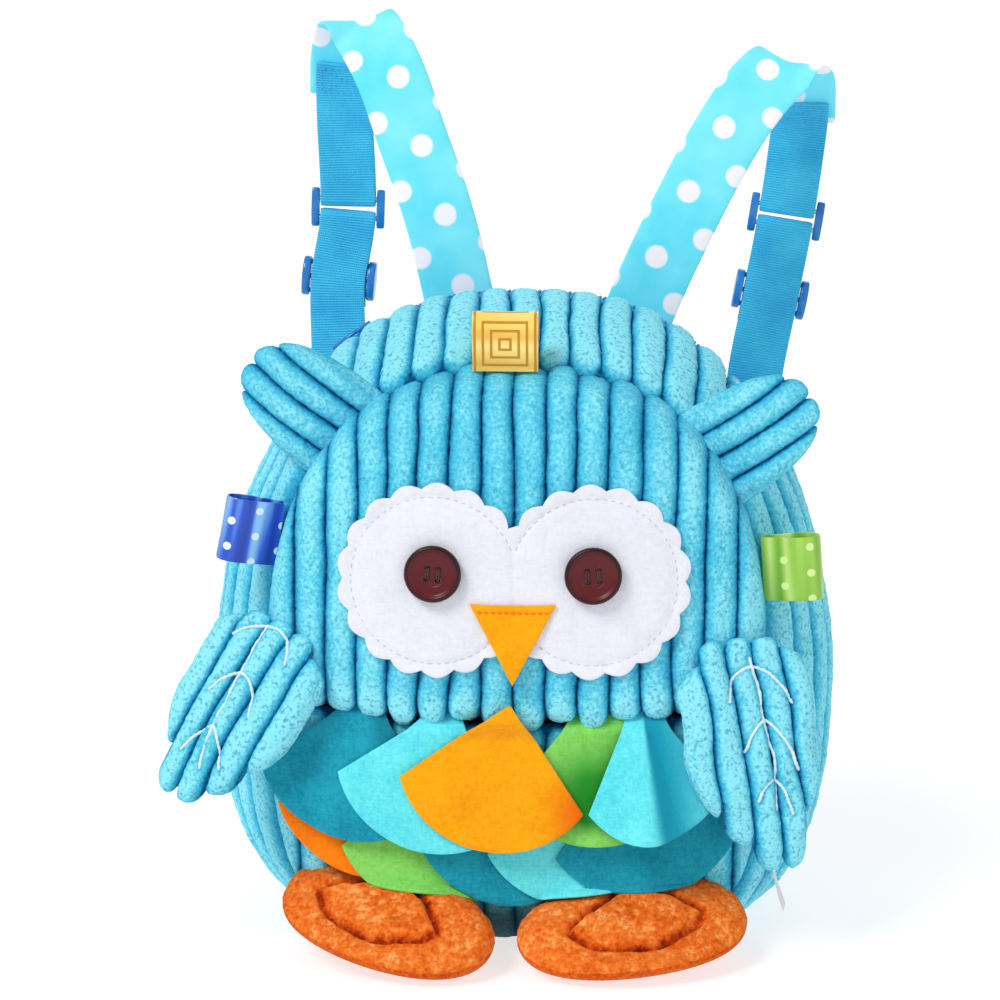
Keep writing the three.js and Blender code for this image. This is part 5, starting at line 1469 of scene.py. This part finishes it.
def feather(row):
    hang = FEATHER_ROWS[row["row"]]
    apex_x, apex_z = row["across"] * FRONT_HALF, row["top"] * FRONT_HEIGHT
    s = np.linspace(-1, 1, 62)[:, None]
    v = spaced(62, 0.2)[None, :]
    angle = np.radians(row["lean"] + s * row["half"])
    corner = FEATHER_CORNER_SHARE + (1 - FEATHER_CORNER_SHARE) * (1 - s * s)
    radius = lerp(0.6, FEATHER_LENGTH * corner, v)
    x = apex_x + radius * np.sin(angle)
    z = apex_z - radius * np.cos(angle)
    drop = clamp((hang["top"] * FRONT_HEIGHT - z) / FEATHER_LENGTH)
    over = FEATHER_CLEARANCE + hang["lift"] * drop - hang["shingle"] * (x - apex_x)
    over = over + row["layer"] * FEATHER_LAYER
    if row["name"] == "top_curl":
        over = over + 1.2 + FEATHER_FOLD * v * (smooth((s + 1.05) / 0.9) - 0.95 * smooth((s + 0.1) / 0.45))
    seed = int(abs(row["across"]) * 100) + row["row"]
    over = over + 0.5 * flat_noise(x, z, 30, 100 + seed) * v + 0.8 * clamp(v - 0.75) * 4 * np.abs(s) ** 2
    tucked = smooth((z - lip(clamp(x, -FRONT_HALF, FRONT_HALF)) + 4) / 8) if row["felt"] != "orange" else 0.0
    out = lerp(drape(x, z) + over, front_crown(clamp(x, -FRONT_HALF, FRONT_HALF), z) + 3, tucked)
    middle = np.stack([x, FRONT_Y - out, z], -1)
    middle = over_feet(behind_wings(middle))
    n = normals(middle)
    n = n * np.where(n[..., 1:2] > 0, -1, 1)
    rim = np.minimum((1 - np.abs(s)) * radius * math.radians(row["half"]), (1 - v) * FEATHER_LENGTH)
    thick = FELT / 2 * (0.55 + 0.45 * rounded(rim / 0.7))[..., None]
    points, faces = shell_mesh(middle + n * thick, middle - n * thick)
    # Painted shade: mixes each feather towards its felt's deep colour.
    shade = np.concatenate([fold_shade(row["name"], s, v).ravel()] * 2)
    piece = make(f"felt_{row['name']}", points, faces, FELTS[row["felt"]], f"{row['felt']}_felt",
                 f"feather_{row['name']}", shade=shade, sharp=60)


for feather_row in FEATHERS:
    feather(feather_row)


# Ribbon tags and label.
def ribbon(color, turn, at):
    """A loop of ribbon sewn into a seam; turn and at place it."""
    name = f"ribbon_{color}"
    u = np.linspace(0, 1, 70)[:, None]
    swell = np.sin(np.pi * u)
    bulge = TAG_BULGE * (0.3 + swell) * np.cos(np.pi * u)
    path = np.concatenate([TAG_REACH * swell**0.8 - TAG_SINK, bulge], 1)
    tangent = unit(np.gradient(path, axis=0))
    normal = np.stack([tangent[:, 1], -tangent[:, 0]], -1)
    width = np.linspace(-0.5, 0.5, 25)[None, :] * TAG_WIDTH
    edge = TAG_WIDTH / 2 - np.abs(width)
    sag = 0.35 * flat_noise(u * 50, width, 16, 120 + len(name)) * np.sin(np.pi * u)
    half = RIBBON / 2 * (0.5 + 0.5 * rounded(edge / 0.8))
    sides = []
    for way in (1, -1):
        flat = path[:, None, :] + normal[:, None, :] * (way * half + sag)[..., None]
        sides.append(np.concatenate([flat, np.broadcast_to(width[..., None], (70, 25, 1))], -1))
    length = lengths(path)
    uv = np.stack(np.broadcast_arrays(width, (length - length[-1] * 0.25)[:, None]), -1)
    points, faces = shell_mesh(*sides)
    uv = np.concatenate([uv.reshape(-1, 2)] * 2)
    piece = make(name, points @ turn.T + at, faces, RIBBONS[color], f"{color}_ribbon", f"ribbon_tag_{color}",
                 uv=uv, sharp=60)


def tags():
    crown = FRONT_HEIGHT + RIB_SCALLOP - SEAM_GAP
    at = np.array([CROWN_TAG_ACROSS * FRONT_HALF, FRONT_Y - TAG_BULGE, crown])
    ribbon("yellow", rotation("y", -90) @ rotation("x", 180), at)
    for name, side, height, turn, lean in SIDE_TAGS:
        power = float(sample(DEPTH_SECTIONS, "up", 0))
        angle = math.acos(((height - WIDEST_SHARE) / (1 - WIDEST_SHARE)) ** (power / 2))
        root = shell_point(side, angle, 0, -RIB_SCALLOP)
        at = np.array([root[0], FRONT_Y - TAG_BULGE / 2, root[2]])
        ribbon(name, rotation("y", lean) @ rotation("z", turn), at)


def care_label():
    root = shell_point(1, bottom_angle(LABEL_ACROSS), LABEL_DEPTH, -RIB_HEIGHT - LABEL_GAP)
    turn = rotation("y", -LABEL_LEAN)
    u = np.linspace(-0.5, 0.5, 12)[:, None] * LABEL_WIDTH
    v = np.linspace(0, 1, 26)[None, :]
    curl = 1.3 * v**2 + 0.5 * np.sin(u / 3.2) * v
    front = np.stack(np.broadcast_arrays(0.75 + curl, u, -LABEL_LENGTH * v), -1)
    points, faces = shell_mesh(front, front - [0.45, 0, 0])
    piece = make("label_blank", points @ turn.T + root, faces, LABEL_CLOTH, "label", "care_label", sharp=60)


tags()
care_label()


# Straps.
def strap_centre(rows, t):
    return np.array([
        float(sample(rows, "across", t)) * BODY_WIDTH / 2,
        BACK_FACE_Y + SEAM_GAP + STRAP_THICKNESS / 2 + float(sample(rows, "reach", t)) * STRAP_REACH,
        BODY_HEIGHT + float(sample(rows, "rise", t)) * STRAP_RISE,
    ])


def station(rows, at):
    step = 0.004
    along = unit(strap_centre(rows, min(at + step, 1)) - strap_centre(rows, max(at - step, 0)))
    roll = math.radians(float(sample(rows, "roll", at)))
    across = np.array([math.cos(roll), 0, math.sin(roll)])
    normal = unit(np.cross(along, across))
    return dict(centre=strap_centre(rows, at), along=along, across=np.cross(normal, along), normal=normal)


def run(rows, start, end, count, offset):
    out = []
    for share in np.linspace(0, 1, count + 1):
        s = station(rows, lerp(start, end, share))
        s["centre"] = s["centre"] + s["normal"] * offset
        out.append(s)
    return out


def wrap(s, radius, way):
    out = []
    for share in (0.1, 0.22, 0.36, 0.5, 0.64, 0.78, 0.9):
        angle = math.pi * share
        normal = s["normal"] * math.cos(angle) + s["along"] * way * math.sin(angle)
        out.append(dict(centre=s["centre"] + normal * radius, across=s["across"], normal=normal))
    return out


def turned(s):
    return {**s, "normal": -s["normal"]}


def sweep(stations, width, thickness, edge_power, crown=0.0, crease=0.0, seed=0):
    """A flat band with soft edges through stations, and its UV map in millimetres."""
    turn = np.linspace(0, 2 * np.pi, 36, endpoint=False)
    a = np.sign(np.cos(turn)) * np.abs(np.cos(turn)) ** edge_power * width / 2
    b = np.sign(np.sin(turn)) * np.abs(np.sin(turn)) ** 0.8 * thickness / 2
    b = b * (1 + crown * (1 - (2 * a / width) ** 2))
    centres = np.array([s["centre"] for s in stations])
    length = lengths(centres)
    rings = []
    for k, s in enumerate(stations):
        shift = crease * flat_noise(a, np.full_like(a, length[k]), 22, 130 + seed)
        rings.append(s["centre"] + a[:, None] * s["across"] + (b + shift)[:, None] * s["normal"])
    grid = np.array(rings)
    nu, nv = len(stations), len(turn)
    faces = [face[::-1] for face in grid_faces(nv, nu, 0, True)]
    points = grid.transpose(1, 0, 2).reshape(-1, 3)
    faces.append([k * nu for k in range(nv)])
    faces.append([k * nu + nu - 1 for k in range(nv)][::-1])
    uv = np.stack(np.broadcast_arrays(a[:, None], length[None, :]), -1).reshape(-1, 2)
    return points, faces, uv, length[-1]


BAR_RADIUS = SLIDER_BAR / 2
WRAP = BAR_RADIUS + SLIDER_CLEARANCE + WEBBING_THICKNESS / 2
OUTER_BAR = WRAP + WEBBING_THICKNESS / 2 + SLIDER_CLEARANCE + BAR_RADIUS
BAR_REACH = SLIDER_HEIGHT / 2 - SLIDER_BAR
STRAP_LAP = (STRAP_THICKNESS + WEBBING_THICKNESS) / 2 + SEAM_GAP
RETURN = STRAP_LAP - 2 * WRAP


def slider_body(bars, depth, middle):
    """Rails and bars of a strap's slider, as (rails, bars) bodies in its own frame."""
    inside = WEBBING_WIDTH + 2 * SLIDER_CLEARANCE
    half = SLIDER_RAIL / 2
    profile = rounded_profile(
        [(0, -half), (SLIDER_HEIGHT / 2, -half), (SLIDER_HEIGHT / 2, half), (0, half)], 1.1, 5)
    points, faces = lathe_part(profile, 56)
    rails = []
    for side in (-1, 1):
        rail = np.stack([points[:, 2], points[:, 1], points[:, 0] * depth / SLIDER_HEIGHT], -1)
        rails.append((rail + [side * (inside + SLIDER_RAIL) / 2, 0, middle], faces))
    reach = (inside + SLIDER_RAIL) / 2
    rods = [tube_part([(-reach, y, z), (-reach / 3, y, z), (reach / 3, y, z), (reach, y, z)], BAR_RADIUS, 20)
            for y, z in bars]
    return joined(rails), joined(rods)


def placed(body, s):
    points, faces = body
    axes = np.array([s["across"], s["along"], np.cross(s["across"], s["along"])])
    return points @ axes + s["centre"], faces


def box_stitches(rows, low, high, offset, width):
    """Thread of a sewn box with a cross in it, where webbing is sewn to a strap."""
    corners = [(-1, 0), (1, 0), (1, 1), (-1, 1), (-1, 0), (1, 1), (1, 0), (-1, 1)]
    marks = []
    for (ax, av), (bx, bv) in zip(corners, corners[1:]):
        start = np.array([ax * width / 2, av])
        end = np.array([bx * width / 2, bv])
        size = math.hypot((end - start)[0], (end - start)[1] * WEBBING_LAP * 0.8)
        count = max(int(size / 2.6), 1)
        for k in range(count):
            path = []
            for share, dip in ((0.12, -0.35), (0.35, 0.12), (0.65, 0.12), (0.88, -0.35)):
                place = lerp(start, end, (k + share) / count)
                s = station(rows, lerp(low, high, place[1]))
                path.append(s["centre"] + s["across"] * place[0] + s["normal"] * (offset + dip))
            marks.append(tube_part(path, 0.24, 6))
    return marks


def strap(name):
    rows = STRAP_ROUTES[name]
    route = np.array([strap_centre(rows, t) for t in np.linspace(0, 1, 61)])
    length = float(np.linalg.norm(np.diff(route, axis=0), axis=1).sum())
    bar, ring, lap = BAR_REACH / length, RING_REACH / length, WEBBING_LAP / length

    def moved(at):
        return run(rows, at, at, 1, STRAP_LAP - WRAP)[0]

    stations = run(rows, 0, STRAP_END, 150, 0)
    thickness = STRAP_THICKNESS * 0.72
    points, faces, uv, _ = sweep(stations, STRAP_WIDTH, thickness, 0.3, 0.38, 0.35, len(name))
    uv = uv * ([1, 1] if name == "left" else [-1, 1]) + [0, {"left": 6.0, "right": 13.0}[name]]
    make(f"strap_padded_{name}", points, faces, STRAP_CLOTH, "dotted_strap", f"shoulder_strap_{name}", uv=uv,
         sharp=70, fill=0.3)
    upper = [
        *run(rows, STRAP_END - lap, RING_AT - ring, 44, STRAP_LAP),
        *wrap(moved(RING_AT - ring), WRAP, 1),
        *map(turned, run(rows, RING_AT - ring, STRAP_END + lap / 2, 34, RETURN)),
    ]
    lower = [
        *map(turned, run(rows, SLIDER_AT + 2 * bar, RING_AT + ring, 34, RETURN)),
        *wrap(moved(RING_AT + ring), WRAP, -1)[::-1],
        *run(rows, RING_AT + ring, 1, 130, STRAP_LAP),
    ]
    for part, stations in (("ring_webbing", upper), ("lower_webbing", lower)):
        points, faces, uv, reach = sweep(stations, WEBBING_WIDTH, WEBBING_THICKNESS, 0.16)
        node = f"{part}_{name}"
        piece = make(f"tape_{node}", points, faces, WEBBING, "webbing", node, uv=uv, sharp=60)
    ring_rails, ring_bars = slider_body([(-RING_REACH, 0), (RING_REACH, 0)], 2 * SLIDER_BAR, 0)
    at = moved(RING_AT)
    make(f"ring_rails_{name}", *placed(ring_rails, at), PLASTIC, "slider_plastic", f"strap_ring_{name}",
         outward=False, sharp=50)
    make(f"ring_bars_{name}", *placed(ring_bars, at), STEEL, "slider_plastic", outward=False, sharp=50)
    bars = [(-BAR_REACH, OUTER_BAR), (0, 0), (BAR_REACH, OUTER_BAR)]
    body = joined(slider_body(bars, 2 * (OUTER_BAR + BAR_RADIUS), OUTER_BAR / 2))
    make(f"slider_{name}", *placed(body, moved(SLIDER_AT)), PLASTIC, "slider_plastic", f"strap_slider_{name}",
         outward=False, sharp=50)
    front = STRAP_LAP + WEBBING_THICKNESS / 2
    marks = box_stitches(rows, STRAP_END - 0.85 * lap, STRAP_END - 0.1 * lap, front, WEBBING_WIDTH - 5)
    make_parts(f"strap_stitches_{name}", marks, WEBBING_THREAD, "webbing")


strap("left")
strap("right")


# Floor, light and camera, in metres; the camera stands where the photograph's did.
CAMERA_PLACE, CAMERA_TARGET, CAMERA_LENS = (0.066648, -1.459552, 0.517436), (-0.009844, 0, 0.18001), 125.1


def stage():
    bpy.ops.mesh.primitive_plane_add(size=60, location=(0, 0, 0))
    floor = bpy.context.object
    floor.name = "floor"
    look = Look("floor", Roughness=0.9, Specular_IOR_Level=0.1, Emission_Strength=0.7)
    look.shader.inputs["Emission Color"].default_value = linear(255, 255, 255)
    look.color(look.ramp(look.noise(3, 1), (0.2, linear(164, 165, 167)), (0.8, linear(168, 168, 169))))
    floor.data.materials.append(look.material)


def aim(obj, target):
    direction = Vector(target) - Vector(obj.location)
    obj.rotation_euler = direction.to_track_quat("-Z", "Y").to_euler()


def lamp(name, kind, place, energy, **settings):
    data = bpy.data.lights.new(name, kind)
    data.energy = energy
    for key, value in settings.items():
        setattr(data, key, value)
    obj = new_object(name, data)
    obj.location = place
    aim(obj, (0, 0, 0.15))


def light():
    world = bpy.data.worlds.new("studio")
    world.use_nodes = True
    world.node_tree.nodes["Background"].inputs[0].default_value = (0.96, 0.98, 1, 1)
    world.node_tree.nodes["Background"].inputs[1].default_value = 0.5
    bpy.context.scene.world = world
    lamp("key", "SUN", (-1.2, -1.2, 2.1), 1.8, angle=0.4)
    lamp("fill", "AREA", (1.3, -1.2, 0.8), 3, shape="DISK", size=1.2)
    lamp("rim", "AREA", (0.4, 1.6, 1.3), 8, shape="DISK", size=1.2)


def camera():
    data = bpy.data.cameras.new("camera")
    data.lens = CAMERA_LENS
    data.sensor_width = 36
    data.clip_end = 100
    obj = new_object("camera", data)
    obj.location = CAMERA_PLACE
    aim(obj, CAMERA_TARGET)
    bpy.context.scene.camera = obj


stage()
light()
camera()
bpy.context.scene.view_settings.view_transform = "Standard"

bpy.context.view_layer.update()
